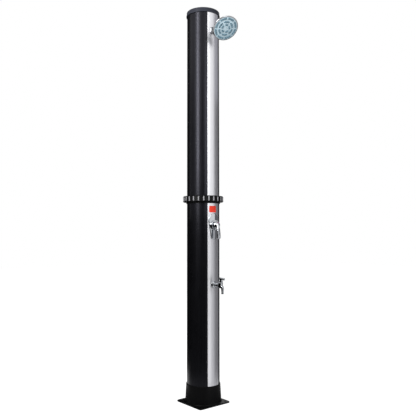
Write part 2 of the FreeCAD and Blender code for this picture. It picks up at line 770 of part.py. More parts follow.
def mixer_valve():
    """Brass valve behind the wall, with its neck through the wall to the front."""
    back = TANK_BORE - VALVE_LENGTH
    shoulder = TANK_BORE - 2 * WASHER
    body = cylinder(VALVE_RADIUS, back, shoulder)
    body = body.fuse(cylinder(NECK_RADIUS, shoulder, PANEL_FACE + NECK_REACH))
    body = body.cut(cylinder(CARTRIDGE_RADIUS + SEAT, PANEL_FACE + NECK_REACH - CARTRIDGE_LENGTH,
                             PANEL_FACE + NECK_REACH))
    body = forward(body, MIXER_Z)
    for x, top in ((VALVE_RADIUS / 2, True), (-VALVE_RADIUS / 2, True), (0, False)):
        reach = VALVE_RADIUS + 2 * PIPE_RADIUS
        low = MIXER_Z if top else MIXER_Z - reach
        stub = cylinder(PIPE_RADIUS + 1.5, low, low + reach)
        seat_low = MIXER_Z + VALVE_RADIUS + PIPE_RADIUS - SEAT if top else MIXER_Z - reach
        stub = stub.cut(cylinder(PIPE_RADIUS + SEAT, seat_low, seat_low + PIPE_RADIUS + SEAT))
        stub.translate(V(x, -PIPE_FORWARD, 0))
        body = body.fuse(stub)
    chamber = forward(cylinder(CARTRIDGE_RADIUS + SEAT, PANEL_FACE + NECK_REACH - CARTRIDGE_LENGTH,
                               PANEL_FACE + NECK_REACH), MIXER_Z)
    return body.cut(chamber).removeSplitter()


def wall_washer(outer, inner):
    """Rubber washer between a flat shoulder inside the tank and its round wall."""
    washer = ring(outer, inner + SEAT, TANK_BORE - 2 * WASHER + SEAT, TANK_BORE)
    return washer


def mixer_washer():
    washer = forward(wall_washer(VALVE_RADIUS, NECK_RADIUS), MIXER_Z)
    return washer.common(post_cylinder(TANK_BORE - SEAT))


def mixer_escutcheon():
    """Drop-shaped plate, curved to the panel, with rounded edges."""
    top = (0, MIXER_Z + ESCUTCHEON_RISE)
    end = (0, MIXER_Z - ESCUTCHEON_HANG)
    lean = math.degrees(math.asin((ESCUTCHEON_TOP_RADIUS - ESCUTCHEON_END_RADIUS) / (top[1] - end[1])))
    top_right = corner_arc(top, ESCUTCHEON_TOP_RADIUS, -lean)
    top_left = corner_arc(top, ESCUTCHEON_TOP_RADIUS, 180 + lean)
    end_right = corner_arc(end, ESCUTCHEON_END_RADIUS, -lean)
    end_left = corner_arc(end, ESCUTCHEON_END_RADIUS, 180 + lean)
    face = outline(
        top_left,
        ((0, top[1] + ESCUTCHEON_TOP_RADIUS), top_right),
        end_right,
        ((0, end[1] - ESCUTCHEON_END_RADIUS), end_left))
    blank = face.extrude(V(0, -2 * PANEL_FACE, 0))
    plate = blank.common(post_cylinder(ESCUTCHEON_FACE))
    outer_edges = [edge for edge in plate.Edges
                   if min(math.hypot(v.X, v.Y) for v in edge.Vertexes) > ESCUTCHEON_FACE - 0.01
                   and edge.BoundBox.YMax < 0]
    plate = plate.makeFillet(ESCUTCHEON_ROUNDING, outer_edges)
    plate = plate.cut(post_cylinder(PANEL_FACE + SEAT))
    return plate.cut(hole_front(NECK_RADIUS + SEAT, MIXER_Z))


def mixer_clamp_nut():
    low = ESCUTCHEON_FACE + SEAT
    return forward(hexagon(MIXER_NUT_WIDTH, low, low + MIXER_NUT_HEIGHT, NECK_RADIUS + SEAT), MIXER_Z)


def mixer_cartridge():
    front = PANEL_FACE + NECK_REACH
    back = front - CARTRIDGE_LENGTH + SEAT
    nose = PANEL_FACE + PIVOT_REACH - STEM_BALL_RADIUS - RUNNING
    body = cylinder(CARTRIDGE_RADIUS, back, front)
    return forward(body.fuse(cylinder(CARTRIDGE_NOSE_RADIUS, front, nose)).removeSplitter(), MIXER_Z)


def mixer_shroud():
    """Round cover over the clamp nut, with a lip around the turret."""
    front = PANEL_FACE + SHROUD_REACH
    low = TANK_RADIUS / 2
    centre = (SHROUD_RADIUS - SHROUD_ROUNDING, front - SHROUD_ROUNDING)
    cover = turned(
        (SHROUD_RADIUS - SHROUD_WALL, low),
        (SHROUD_RADIUS, low),
        (SHROUD_RADIUS, front - SHROUD_ROUNDING),
        (corner_arc(centre, SHROUD_ROUNDING, 45), (centre[0], front)),
        (TURRET_RADIUS + RUNNING, front),
        (TURRET_RADIUS + RUNNING, front - SHROUD_LIP),
        (SHROUD_RADIUS - SHROUD_WALL, front - SHROUD_LIP))
    return forward(cover, MIXER_Z).cut(post_cylinder(ESCUTCHEON_FACE + SEAT))


def mixer_turret():
    """Dome that turns with the lever, slotted upwards for the cartridge's stem."""
    low = PANEL_FACE + NECK_REACH + RUNNING
    centre = PANEL_FACE + PIVOT_REACH
    inner = TURRET_RADIUS - TURRET_WALL
    dome = turned(
        (inner, low),
        (TURRET_RADIUS, low),
        (TURRET_RADIUS, centre),
        (corner_arc((0, centre), TURRET_RADIUS, 45), (0, centre + TURRET_RADIUS)),
        (0, centre + inner),
        (corner_arc((0, centre), inner, 45), (inner, centre)))
    dome = forward(dome, MIXER_Z)
    half = STEM_RADIUS + RUNNING
    reach = math.sin(math.radians(LEVER_LIFT)) * TURRET_RADIUS + half
    slot = Part.makeBox(2 * half, TURRET_RADIUS * 2, half + reach,
                        PIVOT + V(-half, -TURRET_RADIUS * 2, -half))
    return dome.cut(slot)


def stem_rod(clearance):
    length = TURRET_RADIUS + TURRET_PLAY + STEM_GRIP + clearance
    return Part.makeCylinder(STEM_RADIUS + clearance, length, PIVOT, FRONT)


def mixer_stem():
    """Ball-ended stem of the cartridge, which the lever is screwed to."""
    return Part.makeSphere(STEM_BALL_RADIUS, PIVOT).fuse(stem_rod(0)).removeSplitter()


def lever_section(rise, front, width, thickness):
    """Rounded cross-section of the lever's arm at a height above its pivot."""
    corner = thickness * LEVER_CORNER
    slab = rounded_rectangle(width, thickness, corner, 0, 1)
    base = [face for face in slab.Faces if face.BoundBox.ZMax < 0.01][0]
    wire = base.OuterWire
    wire.translate(V(0, -(PANEL_FACE + front - thickness / 2), MIXER_Z + rise))
    return wire


def mixer_lever():
    """Domed hub with a hanging arm that widens to its rounded tip."""
    hub = Part.makeSphere(HUB_RADIUS, PIVOT)
    keep = Part.makeBox(2 * HUB_RADIUS, HUB_RADIUS, 2 * HUB_RADIUS,
                        V(-HUB_RADIUS, -(PANEL_FACE + HUB_EDGE_REACH) - HUB_RADIUS, MIXER_Z - HUB_RADIUS))
    hub = hub.common(keep)
    arm = Part.makeLoft([lever_section(*sizes) for sizes in LEVER_SECTIONS], True, False)
    body = hub.fuse(arm)
    body = body.cut(Part.makeSphere(TURRET_RADIUS + TURRET_PLAY, PIVOT))
    body = body.cut(lever_groove()).cut(stem_rod(SEAT))
    screw = Part.makeCylinder(LEVER_SCREW_RADIUS + SEAT, HUB_RADIUS, screw_start(), V(-1, 0, 0))
    return body.cut(screw).removeSplitter()


def lever_groove():
    """Shallow channel with round ends down the front of the lever's arm."""
    half = GROOVE_WIDTH / 2
    radius = (half * half + GROOVE_DEPTH * GROOVE_DEPTH) / (2 * GROOVE_DEPTH)
    lift = radius - GROOVE_DEPTH
    top = V(0, -(PANEL_FACE + GROOVE_TOP_FACE + lift), MIXER_Z + GROOVE_TOP)
    low = V(0, -(PANEL_FACE + GROOVE_LOW_FACE + lift), MIXER_Z + GROOVE_LOW)
    way = low - top
    channel = Part.makeCylinder(radius, way.Length, top, way)
    return channel.fuse(Part.makeSphere(radius, top)).fuse(Part.makeSphere(radius, low))


def screw_start():
    """Where the grub screw in the hub's left side meets the stem."""
    return PIVOT + V(-STEM_RADIUS - SEAT, -(TURRET_RADIUS + TURRET_PLAY + STEM_GRIP / 2), 0)


def lever_screw():
    screw = Part.makeCylinder(LEVER_SCREW_RADIUS, HUB_RADIUS, screw_start(), V(-1, 0, 0))
    return screw.common(Part.makeSphere(HUB_RADIUS - LEVER_SCREW_RADIUS / 2, PIVOT))


# ---------------------------------------------------------------- foot tap

def lean_way():
    lean = math.radians(TAP_LEAN)
    return V(0, -math.sin(lean), math.cos(lean))


def tap_centre():
    return V(0, -(PANEL_FACE + TAP_CHAMBER_REACH), TAP_Z)


def leaning(shape):
    """Places a shape modelled along +Z on the tap's leaning bonnet axis."""
    return facing(shape, lean_way(), tap_centre())


def tap_rosette():
    front = PANEL_FACE + TAP_ROSETTE_REACH
    low = TANK_RADIUS / 2
    inner = TAP_SHANK_RADIUS + SEAT
    dome = turned(
        (inner, low),
        (TAP_ROSETTE_RADIUS, low),
        (TAP_ROSETTE_RADIUS, PANEL_FACE + 1.5),
        ((TAP_ROSETTE_RADIUS - 2.2, front - 2.6), (inner + 1.5, front)),
        (inner, front))
    return forward(dome, TAP_Z).cut(post_cylinder(PANEL_FACE + SEAT))


def spout_route():
    top = TAP_Z - TAP_SPOUT_FALL
    start = V(0, -(PANEL_FACE + TAP_CHAMBER_REACH), top)
    corner = V(0, -(PANEL_FACE + TAP_SPOUT_REACH), top)
    end = V(0, -(PANEL_FACE + TAP_SPOUT_REACH), TAP_Z - TAP_SPOUT_DROP)
    return [start, corner, end]


def spout():
    """Tapering spout that bends down in front of the valve chamber."""
    route = bent_wire(spout_route(), TAP_SPOUT_BEND)
    start, corner, end = spout_route()
    first = Part.Wire(Part.makeCircle(TAP_SPOUT_RADIUS, start, FRONT))
    last = Part.Wire(Part.makeCircle(TAP_SPOUT_END_RADIUS, end, V(0, 0, -1)))
    return route.makePipeShell([first, last], True, False)


def tap_body():
    """Chromed body: shank through the wall, valve chamber and spout in one casting."""
    inner_end = TANK_BORE - TAP_SHANK_LENGTH
    shank = forward(cylinder(TAP_THREAD_RADIUS, inner_end, PANEL_FACE + 1), TAP_Z)
    shank = shank.fuse(forward(cylinder(TAP_SHANK_RADIUS, PANEL_FACE + SEAT,
                                        PANEL_FACE + TAP_CHAMBER_REACH), TAP_Z))
    edge = 2.0
    chamber = leaning(turned(
        (0, -TAP_CHAMBER_LOW),
        (TAP_CHAMBER_RADIUS - edge, -TAP_CHAMBER_LOW),
        (TAP_CHAMBER_RADIUS, -TAP_CHAMBER_LOW + edge),
        (TAP_CHAMBER_RADIUS, TAP_CHAMBER_HIGH - edge),
        (TAP_CHAMBER_RADIUS - edge, TAP_CHAMBER_HIGH),
        (0, TAP_CHAMBER_HIGH)))
    body = shank.fuse(chamber).fuse(spout())
    body = body.cut(forward(cylinder(TAP_BORE_RADIUS, inner_end, PANEL_FACE + TAP_CHAMBER_REACH), TAP_Z))
    route = spout_route()
    bore = min(TAP_BORE_RADIUS, TAP_SPOUT_END_RADIUS - 1.5)
    return body.cut(rod_along(route, bore, TAP_SPOUT_BEND)).removeSplitter()


def tap_nozzle():
    """Screwed-on outlet at the end of the spout."""
    _, _, end = spout_route()
    collar = ring(TAP_NOZZLE_RADIUS, TAP_SPOUT_END_RADIUS - 1.5,
                  end.z - TAP_NOZZLE_LENGTH - SEAT, end.z - SEAT)
    collar.translate(V(0, end.y, 0))
    return collar


def tap_bonnet():
    low = TAP_CHAMBER_HIGH + SEAT
    middle = low + TAP_BONNET_HEIGHT
    bore = TAP_SPINDLE_RADIUS + RUNNING / 3
    nut = hexagon(TAP_BONNET_WIDTH, low, middle, bore)
    neck = ring(TAP_SPINDLE_RADIUS + 3, bore, middle, middle + TAP_BONNET_NECK)
    return leaning(nut.fuse(neck).removeSplitter())


def handle_low():
    return TAP_CHAMBER_HIGH + SEAT + TAP_BONNET_HEIGHT + TAP_BONNET_NECK + RUNNING


def tap_spindle():
    """Valve spindle, from the chamber's top up into the handle."""
    return leaning(cylinder(TAP_SPINDLE_RADIUS, TAP_CHAMBER_HIGH + RUNNING,
                            handle_low() + TAP_HANDLE_HEIGHT - 3))


def tap_handle():
    """Lever handle that points forward and ends in a knob."""
    low = handle_low()
    high = low + TAP_HANDLE_HEIGHT
    hub = turned(
        (0, low),
        (TAP_HANDLE_RADIUS - 1, low),
        (TAP_HANDLE_RADIUS, low + 1),
        (TAP_HANDLE_RADIUS, high - 2),
        ((TAP_HANDLE_RADIUS * 0.6, high - 0.4), (0, high)))
    middle = low + TAP_HANDLE_HEIGHT * 0.55
    hub = hub.cut(cylinder(TAP_SPINDLE_RADIUS + SEAT, low, high - 3 + SEAT))
    hub = leaning(hub)
    start = tap_centre() + lean_way() * middle
    tip = start - V(0, TAP_HANDLE_LENGTH, TAP_KNOB_DROP)
    way = tip - start
    blade = rounded_rectangle(TAP_HANDLE_ARM_WIDTH, TAP_HANDLE_ARM, TAP_HANDLE_ARM * 0.45, 0, way.Length)
    blade = facing(blade, way, start)
    bore = leaning(cylinder(TAP_SPINDLE_RADIUS + SEAT, low, high - 3 + SEAT))
    knob = Part.makeSphere(TAP_KNOB_RADIUS, tip)
    return hub.fuse(blade.cut(bore)).fuse(knob).removeSplitter()


def shank_nut(width, height, bore, z):
    """Hexagon nut inside the tank that clamps a shank to the wall."""
    high = TANK_BORE - 2 * WASHER
    return forward(hexagon(width, high - height, high, bore + SEAT), z)


def shank_washer(width, bore, z):
    washer = forward(wall_washer(width / 2, bore), z)
    return washer.common(post_cylinder(TANK_BORE - SEAT))


def tap_back_nut():
    return shank_nut(TAP_NUT_WIDTH, TAP_NUT_HEIGHT, TAP_THREAD_RADIUS, TAP_Z)


def tap_washer():
    return shank_washer(TAP_NUT_WIDTH, TAP_THREAD_RADIUS, TAP_Z)


# ---------------------------------------------------------------- shower arm and rose

def arm_bracket():
    """Moulded saddle on the panel, with a threaded shank through the wall."""
    block = rounded_rectangle(BRACKET_WIDTH, BRACKET_HEIGHT, BRACKET_CORNER,
                              TANK_RADIUS / 2, PANEL_FACE + BRACKET_REACH)
    front = [edge for edge in block.Edges if edge.BoundBox.ZMin > PANEL_FACE + BRACKET_REACH - 0.01]
    block = forward(block.makeFillet(BRACKET_ROUNDING, front), ARM_Z)
    block = block.cut(post_cylinder(PANEL_FACE + SEAT))
    shank = forward(cylinder(ARM_SHANK_RADIUS, TANK_BORE - ARM_SHANK_LENGTH,
                             PANEL_FACE + ARM_START_REACH), ARM_Z)
    body = block.fuse(shank)
    start, corner, _ = arm_route()
    way = corner - start
    socket = Part.makeCylinder(ARM_RADIUS + SEAT, way.Length, start - way.normalize() * SEAT, way)
    bore = forward(cylinder(ARM_BORE_RADIUS, TANK_BORE - ARM_SHANK_LENGTH,
                            PANEL_FACE + ARM_START_REACH + 2), ARM_Z)
    return body.cut(socket).cut(bore).removeSplitter()


def arm_route():
    """Start in the bracket, corner of the two straight lines, centre of the ball."""
    rise = math.radians(ARM_RISE)
    dip = math.radians(ARM_DIP)
    start = V(0, -(PANEL_FACE + ARM_START_REACH), ARM_Z)
    reach = start.y - BALL.y
    climb = BALL.z - start.z
    back = (reach * math.sin(rise) - climb * math.cos(rise)) / math.sin(rise + dip)
    corner = BALL + V(0, math.cos(dip), math.sin(dip)) * back
    return [start, corner, BALL]


def shower_arm():
    """Bent tube that ends in the ball which the rose swivels on."""
    start, corner, ball = arm_route()
    towards = (corner - ball).normalize()
    neck_end = ball + towards * (BALL_RADIUS + 2)
    tube = rod_along([start, corner, neck_end], ARM_RADIUS, ARM_BEND)
    neck = Part.makeCylinder(ARM_NECK_RADIUS, BALL_RADIUS + 3, ball, towards)
    body = tube.fuse(neck).fuse(Part.makeSphere(BALL_RADIUS, ball))
    bore = rod_along([start, corner, ball - towards * BALL_RADIUS], ARM_BORE_RADIUS, ARM_BEND)
    return body.cut(bore).removeSplitter()


def arm_back_nut():
    return shank_nut(ARM_NUT_WIDTH, ARM_NUT_HEIGHT, ARM_SHANK_RADIUS, ARM_Z)


def arm_washer():
    return shank_washer(ARM_NUT_WIDTH, ARM_SHANK_RADIUS, ARM_Z)


def on_rose(shape):
    """Local Z runs from the ball's centre out through the rose's face."""
    turn = FreeCAD.Rotation(UP, ROSE_TURN)
    tilt = FreeCAD.Rotation(V(1, 0, 0), 90 + ROSE_TILT)
    moved = shape.copy()
    moved.Placement = FreeCAD.Placement(BALL, turn.multiply(tilt)).multiply(moved.Placement)
    return moved


def ball_zone(inner, outer, rear_angle, front):
    """Ring between two spheres, from the rear lip to a plane in front."""
    rear = math.cos(math.radians(rear_angle))
    zone = Part.makeSphere(outer).cut(Part.makeSphere(inner))
    slab = cylinder(outer * 2, -outer * rear, front)
    return zone.common(slab)


def seat_ring_inner():
    return BALL_RADIUS + RUNNING


def seat_ring_outer():
    return seat_ring_inner() + SEAT_RING_WALL


def ball_seat():
    """Plastic ring that the ball turns in, held by the swivel nut."""
    return on_rose(ball_zone(seat_ring_inner(), seat_ring_outer(), LIP_ANGLE, SEAT_RING_FRONT))


def swivel_nut():
    """Round nut with finger grips that holds the ball in the rose's neck."""
    cavity = seat_ring_outer() + RUNNING
    rear = -cavity * math.cos(math.radians(LIP_ANGLE))
    lip = cavity * math.sin(math.radians(LIP_ANGLE))
    body = turned(
        (0, rear),
        (lip + 1.5, rear),
        (SWIVEL_NUT_RADIUS, rear + 6),
        (SWIVEL_NUT_RADIUS, SWIVEL_NUT_FRONT),
        (0, SWIVEL_NUT_FRONT))
    body = body.cut(Part.makeSphere(cavity))
    body = body.cut(cylinder(ROSE_NECK_RADIUS + SEAT, ROSE_NECK_START - SEAT, SWIVEL_NUT_FRONT))
    for i in range(SWIVEL_NUT_GRIPS):
        grip = cylinder(SWIVEL_GRIP_RADIUS, rear, SWIVEL_NUT_FRONT + 1)
        grip.translate(V(SWIVEL_NUT_RADIUS + SWIVEL_GRIP_RADIUS * 0.55, 0, 0))
        grip.rotate(V(0, 0, 0), UP, 360.0 / SWIVEL_NUT_GRIPS * i)
        body = body.cut(grip)
    return on_rose(body)


def rose_shell():
    """Domed back of the rose, from its threaded neck to the rounded rim round the face."""
    neck_top = SWIVEL_NUT_FRONT + 2 * SEAT_RING_WALL
    back_radius = ROSE_RADIUS - ROSE_RIM_TAPER
    bulge = ((ROSE_WAIST_RADIUS + back_radius) * 0.5, ROSE_SHOULDER + 2 * ROSE_WALL)
    inside = (ROSE_RIM_INNER, ROSE_RIM_BACK + ROSE_WALL)
    crest = ((ROSE_RIM_INNER + ROSE_RADIUS) * 0.5 + 0.35 * ROSE_WALL, ROSE_RIM_FRONT - 0.35 * ROSE_WALL)
    body = turned(
        (ROSE_BORE_RADIUS, ROSE_NECK_START),
        (ROSE_NECK_RADIUS, ROSE_NECK_START),
        (ROSE_NECK_RADIUS, SWIVEL_NUT_FRONT + SEAT),
        (ROSE_WAIST_RADIUS, SWIVEL_NUT_FRONT + SEAT),
        (ROSE_WAIST_RADIUS, neck_top),
        (bulge, (back_radius, ROSE_RIM_BACK)),
        (ROSE_RADIUS, ROSE_RIM_EDGE),
        (crest, (ROSE_RIM_INNER, ROSE_RIM_FRONT)),
        inside,
        ((bulge[0], bulge[1] + 1.2 * ROSE_WALL), (ROSE_WAIST_RADIUS, neck_top + ROSE_WALL)),
        (ROSE_BORE_RADIUS, neck_top + ROSE_WALL))
    return on_rose(body)


def rose_face():
    """Pale face plate that carries the nozzle pads."""
    outer = ROSE_RIM_INNER - SEAT
    body = turned(
        (0, ROSE_FACE - FACE_THICKNESS),
        (outer, ROSE_FACE - FACE_THICKNESS),
        (outer, ROSE_FACE - FACE_RECESS),
        (outer - 2 * FACE_RECESS, ROSE_FACE),
        (0, ROSE_FACE))
    return on_rose(body)


def arc_pad(radius, length):
    """Rounded strip bent along a circle, centred on +X."""
    half = math.degrees(max(length - PAD_WIDTH, 0.1) / 2 / radius)
    inner = radius - PAD_WIDTH / 2
    outer = radius + PAD_WIDTH / 2
    centre = V(0, 0, ROSE_FACE)

    def at(distance, angle):
        turn = math.radians(angle)
        return centre + V(distance * math.cos(turn), distance * math.sin(turn), 0)

    def cap(angle, sign):
        middle = at(radius, angle)
        across = V(-math.sin(math.radians(angle)), math.cos(math.radians(angle)), 0)
        return middle + across * (sign * PAD_WIDTH / 2)

    wire = Part.Wire([
        Part.Arc(at(inner, -half), at(inner, 0), at(inner, half)).toShape(),
        Part.Arc(at(inner, half), cap(half, 1), at(outer, half)).toShape(),
        Part.Arc(at(outer, half), at(outer, 0), at(outer, -half)).toShape(),
        Part.Arc(at(outer, -half), cap(-half, -1), at(inner, -half)).toShape()])
    return Part.Face(wire).extrude(V(0, 0, PAD_RISE))


def pad_ring(count, radius, length, first_angle):
    """One ring of equal pads, as separate solids."""
    pads = []
    for i in range(count):
        pad = arc_pad(radius, length)
        pad.rotate(V(0, 0, 0), UP, first_angle + 360.0 / count * i)
        pads.append(on_rose(pad))
    return pads


def nozzle_pads():
    """Soft pads in three rings; each carries a row of nozzles."""
    return Part.makeCompound(
        pad_ring(INNER_PADS, INNER_PAD_RADIUS, INNER_PAD_LENGTH, INNER_PAD_ANGLE)
        + pad_ring(MIDDLE_PADS, MIDDLE_PAD_RADIUS, MIDDLE_PAD_LENGTH, MIDDLE_PAD_ANGLE)
        + pad_ring(OUTER_PADS, OUTER_PAD_RADIUS, OUTER_PAD_LENGTH, OUTER_PAD_ANGLE))


# ---------------------------------------------------------------- rear connections

def inlet_connector():
    """Threaded hose connection at the rear, screwed through the wall."""
    face = TANK_RADIUS + WASHER
    tail = face + INLET_FLANGE
    end = tail + INLET_TAIL_LENGTH
    inner = TANK_BORE - REAR_NUT_HEIGHT - WASHER - PIPE_RADIUS + SEAT
    body = cylinder(INLET_THREAD_RADIUS, inner, face)
    body = body.fuse(hexagon(INLET_FLANGE_RADIUS * math.sqrt(3), face, tail, PIPE_BORE_RADIUS))
    body = body.fuse(turned(
        (0, face),
        (INLET_TAIL_RADIUS, face),
        (INLET_TAIL_RADIUS, end - INLET_TAIL_CHAMFER),
        (INLET_TAIL_RADIUS - INLET_TAIL_CHAMFER, end),
        (0, end)))
    body = body.cut(cylinder(PIPE_BORE_RADIUS, inner, end))
    return rearward(body, INLET_Z).removeSplitter()


def outer_washer(outer, inner, z):
    """Rubber washer between the tank's round outside and a flat flange."""
    washer = rearward(ring(outer, inner + SEAT, TANK_BORE, TANK_RADIUS + WASHER - SEAT), z)
    return washer.cut(post_cylinder(TANK_RADIUS + SEAT))


def inlet_washer():
    return outer_washer(INLET_FLANGE_RADIUS, INLET_THREAD_RADIUS, INLET_Z)


def inner_rear_nut(width, bore, z):
    """Nut inside the tank, hollowed to the round wall that it clamps."""
    nut = rearward(hexagon(width, TANK_BORE - REAR_NUT_HEIGHT - WASHER, TANK_BORE, bore + SEAT), z)
    return nut.common(post_cylinder(TANK_BORE - SEAT))


def inlet_back_nut():
    return inner_rear_nut(INLET_NUT_WIDTH, INLET_THREAD_RADIUS, INLET_Z)


def drain_plug():
    """Winter drain screw with a coin slot."""
    face = TANK_RADIUS + WASHER
    body = cylinder(DRAIN_THREAD_RADIUS, TANK_BORE - REAR_NUT_HEIGHT - WASHER, face)
    head = turned(
        (0, face),
        (DRAIN_HEAD_RADIUS, face),
        (DRAIN_HEAD_RADIUS, face + DRAIN_HEAD - 1.5),
        (DRAIN_HEAD_RADIUS - 1.5, face + DRAIN_HEAD),
        (0, face + DRAIN_HEAD))
    slot = Part.makeBox(2 * DRAIN_HEAD_RADIUS, DRAIN_SLOT, DRAIN_SLOT,
                        V(-DRAIN_HEAD_RADIUS, -DRAIN_SLOT / 2, face + DRAIN_HEAD - DRAIN_SLOT))
    return rearward(body.fuse(head).cut(slot).removeSplitter(), DRAIN_Z)


def drain_washer():
    return outer_washer(DRAIN_HEAD_RADIUS, DRAIN_THREAD_RADIUS, DRAIN_Z)


def drain_back_nut():
    return inner_rear_nut(2 * DRAIN_HEAD_RADIUS, DRAIN_THREAD_RADIUS, DRAIN_Z)


# ---------------------------------------------------------------- all nodes

PIECES = (
    foot, lower_tank, upper_tank, lower_tank_floor, upper_tank_roof,
    lower_front_panel, upper_front_panel, label,
    lower_tank_head, upper_tank_base, face_ring, spigot_rings, union_nut, top_cap,
    hot_pipe_lower, hot_pipe_upper, riser_lower, riser_upper, cold_pipe, tap_tee, fill_tee,
    mixer_valve, mixer_washer, mixer_escutcheon, mixer_clamp_nut, mixer_cartridge,
    mixer_shroud, mixer_turret, mixer_stem, mixer_lever, lever_screw,
    tap_rosette, tap_body, tap_nozzle, tap_bonnet, tap_spindle, tap_handle,
    tap_back_nut, tap_washer,
    arm_bracket, shower_arm, arm_back_nut, arm_washer,
    ball_seat, swivel_nut, rose_shell, rose_face, nozzle_pads,
    inlet_connector, inlet_washer, inlet_back_nut, drain_plug, drain_washer, drain_back_nut,
)

os.makedirs("parts", exist_ok=True)
for piece in PIECES:
    shape = piece()
    shape.exportStep("parts/" + piece.__name__ + ".step")
    print(piece.__name__, len(shape.Solids), round(shape.Volume), shape.isValid())
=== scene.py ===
import bmesh
import bpy
import json
import math
from mathutils import Matrix, Vector


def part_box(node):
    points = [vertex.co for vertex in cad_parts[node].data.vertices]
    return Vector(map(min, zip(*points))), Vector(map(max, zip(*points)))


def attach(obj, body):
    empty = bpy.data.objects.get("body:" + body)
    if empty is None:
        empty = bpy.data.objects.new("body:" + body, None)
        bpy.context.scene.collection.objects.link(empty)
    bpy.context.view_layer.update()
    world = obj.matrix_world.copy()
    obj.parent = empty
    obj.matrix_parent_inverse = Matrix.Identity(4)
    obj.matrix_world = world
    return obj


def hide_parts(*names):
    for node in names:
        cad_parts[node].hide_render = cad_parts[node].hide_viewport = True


bl_info = {
    "name": "Shower Post",
    "version": (1, 0, 0),
    "blender": (4, 5, 0),
    "location": "3D View > Sidebar > Shower Post",
    "description": "Finishes, small fittings, light and camera of a garden shower post",
    "category": "Object",
}

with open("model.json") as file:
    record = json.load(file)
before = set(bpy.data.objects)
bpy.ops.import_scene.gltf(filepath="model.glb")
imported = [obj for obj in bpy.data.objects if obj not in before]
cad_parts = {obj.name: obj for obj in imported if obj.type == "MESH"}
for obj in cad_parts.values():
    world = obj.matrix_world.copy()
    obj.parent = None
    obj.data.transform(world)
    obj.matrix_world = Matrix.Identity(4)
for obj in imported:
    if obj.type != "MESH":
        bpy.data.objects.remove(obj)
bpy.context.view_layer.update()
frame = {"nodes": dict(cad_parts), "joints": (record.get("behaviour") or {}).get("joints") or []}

MM = 0.001


def linear(code):
    """Linear RGBA from an sRGB hex code."""
    channels = [int(code[i:i + 2], 16) / 255 for i in (1, 3, 5)]
    curve = [c / 12.92 if c <= 0.04045 else ((c + 0.055) / 1.055) ** 2.4 for c in channels]
    return tuple(curve) + (1.0,)


# ------------------------------------------------------------------ settings

def length(name, description, default):
    """Setting for a length, whose default is in millimetres."""
    return bpy.props.FloatProperty(name=name, description=description, default=default * MM,
                                   unit="LENGTH", subtype="DISTANCE", min=0.0)


def colour(name, description, code):
    """Setting for a colour, whose default is an sRGB hex code."""
    return bpy.props.FloatVectorProperty(name=name, description=description, default=linear(code),
                                         subtype="COLOR", size=4, min=0.0, max=1.0)


class ShowerSizes(bpy.types.PropertyGroup):
    nozzle_radius: length("Nozzle radius", "Radius of a rose nozzle at its root", 1.7)
    nozzle_height: length("Nozzle height", "How far a nozzle stands out of its pad", 1.5)
    thread_pitch: length("Inlet thread pitch", "Distance between the thread's crests", 1.81)
    thread_depth: length("Inlet thread depth", "Depth of the hose thread", 1.16)
    mark_radius: length("Mark radius", "Radius of the warm and cold mark on the lever", 3.6)


class ShowerColours(bpy.types.PropertyGroup):
    tube: colour("Tube", "Black PVC of the two tanks", "#0b0b0d")
    moulding: colour("Moulding", "Black plastic of the foot, union nut and cap", "#0c0c0d")
    # the cap is lighter and bluer than the other black mouldings
    cap: colour("Cap", "Black plastic of the cap, lighter and bluer", "#393b44")
    # painted highlight on the crests of the union nut's ribs, in place of glints
    rib_highlight: colour("Painted rib highlights", "Painted highlight on the union nut's rib crests", "#b0b0b4")
    panel: colour("Panel", "Anodised aluminium of the front panels", "#e2e2e6")
    label: colour("Label", "Plain vinyl sticker", "#ff4630")
    chrome: colour("Chrome", "Chrome plating", "#c6c9cd")
    brass: colour("Brass", "Bare brass", "#c3a05c")
    pipe: colour("Pipe", "Milky plastic of the pipes and tank fittings", "#d6d4cc")
    seal: colour("Seal", "Rubber of the seals and washers", "#1d1d1e")
    steel: colour("Steel", "Stem and grub screw of the lever", "#b9babb")
    rose_face: colour("Rose face", "Pale plate of the rose", "#d9f3ff")
    rose_pads: colour("Rose pads", "Soft nozzle pads", "#7c9dad")
    warm: colour("Warm", "Warm half of the lever's mark", "#c02a2a")
    cold: colour("Cold", "Cold half of the lever's mark", "#2a4fc0")


# ------------------------------------------------------------------ materials

NOISE_LOW, NOISE_HIGH = 0.3, 0.7     # most of a noise lies between these two

# where the painted highlight lies on the union nut's ribs, which stand from 107.5 mm to 112.5 mm
# off the axis
PAINTED_HIGHLIGHT_START = 108.4 * MM              # painted highlight begins, just over the root of the ribs
PAINTED_HIGHLIGHT_FULL = 109.8 * MM
PAINTED_HIGHLIGHT_HEIGHT = 10.8 * MM              # full painted highlight up to here, above and below the nut's middle
PAINTED_HIGHLIGHT_END = 12.4 * MM                 # no painted highlight from here on, under the rims


def add(tree, kind, inputs=None, **settings):
    """One shader node with its settings; an input is a value or a socket to link."""
    node = tree.nodes.new(kind)
    for name, value in settings.items():
        setattr(node, name, value)
    for name, value in (inputs or {}).items():
        if isinstance(value, bpy.types.NodeSocket):
            tree.links.new(value, node.inputs[name])
        else:
            node.inputs[name].default_value = value
    return node


def surface(name, base, **sockets):
    """New material with a plain Principled shader whose sockets hold the given values."""
    made = bpy.data.materials.new(name)
    made.use_nodes = True
    shader = made.node_tree.nodes["Principled BSDF"]
    shader.inputs["Base Color"].default_value = tuple(base)
    for socket, value in sockets.items():
        shader.inputs[socket.replace("_", " ")].default_value = value
    return made, made.node_tree, shader


def grain(tree, size, stretch=(1.0, 1.0, 1.0), detail=2.0):
    """Noise on the piece's own coordinates, with grains of the given size in metres."""
    place = add(tree, "ShaderNodeTexCoord")
    turned = add(tree, "ShaderNodeMapping", {"Vector": place.outputs["Object"], "Scale": stretch})
    noise = add(tree, "ShaderNodeTexNoise",
                {"Vector": turned.outputs["Vector"], "Scale": 1.0 / size, "Detail": detail})
    return noise.outputs["Fac"]


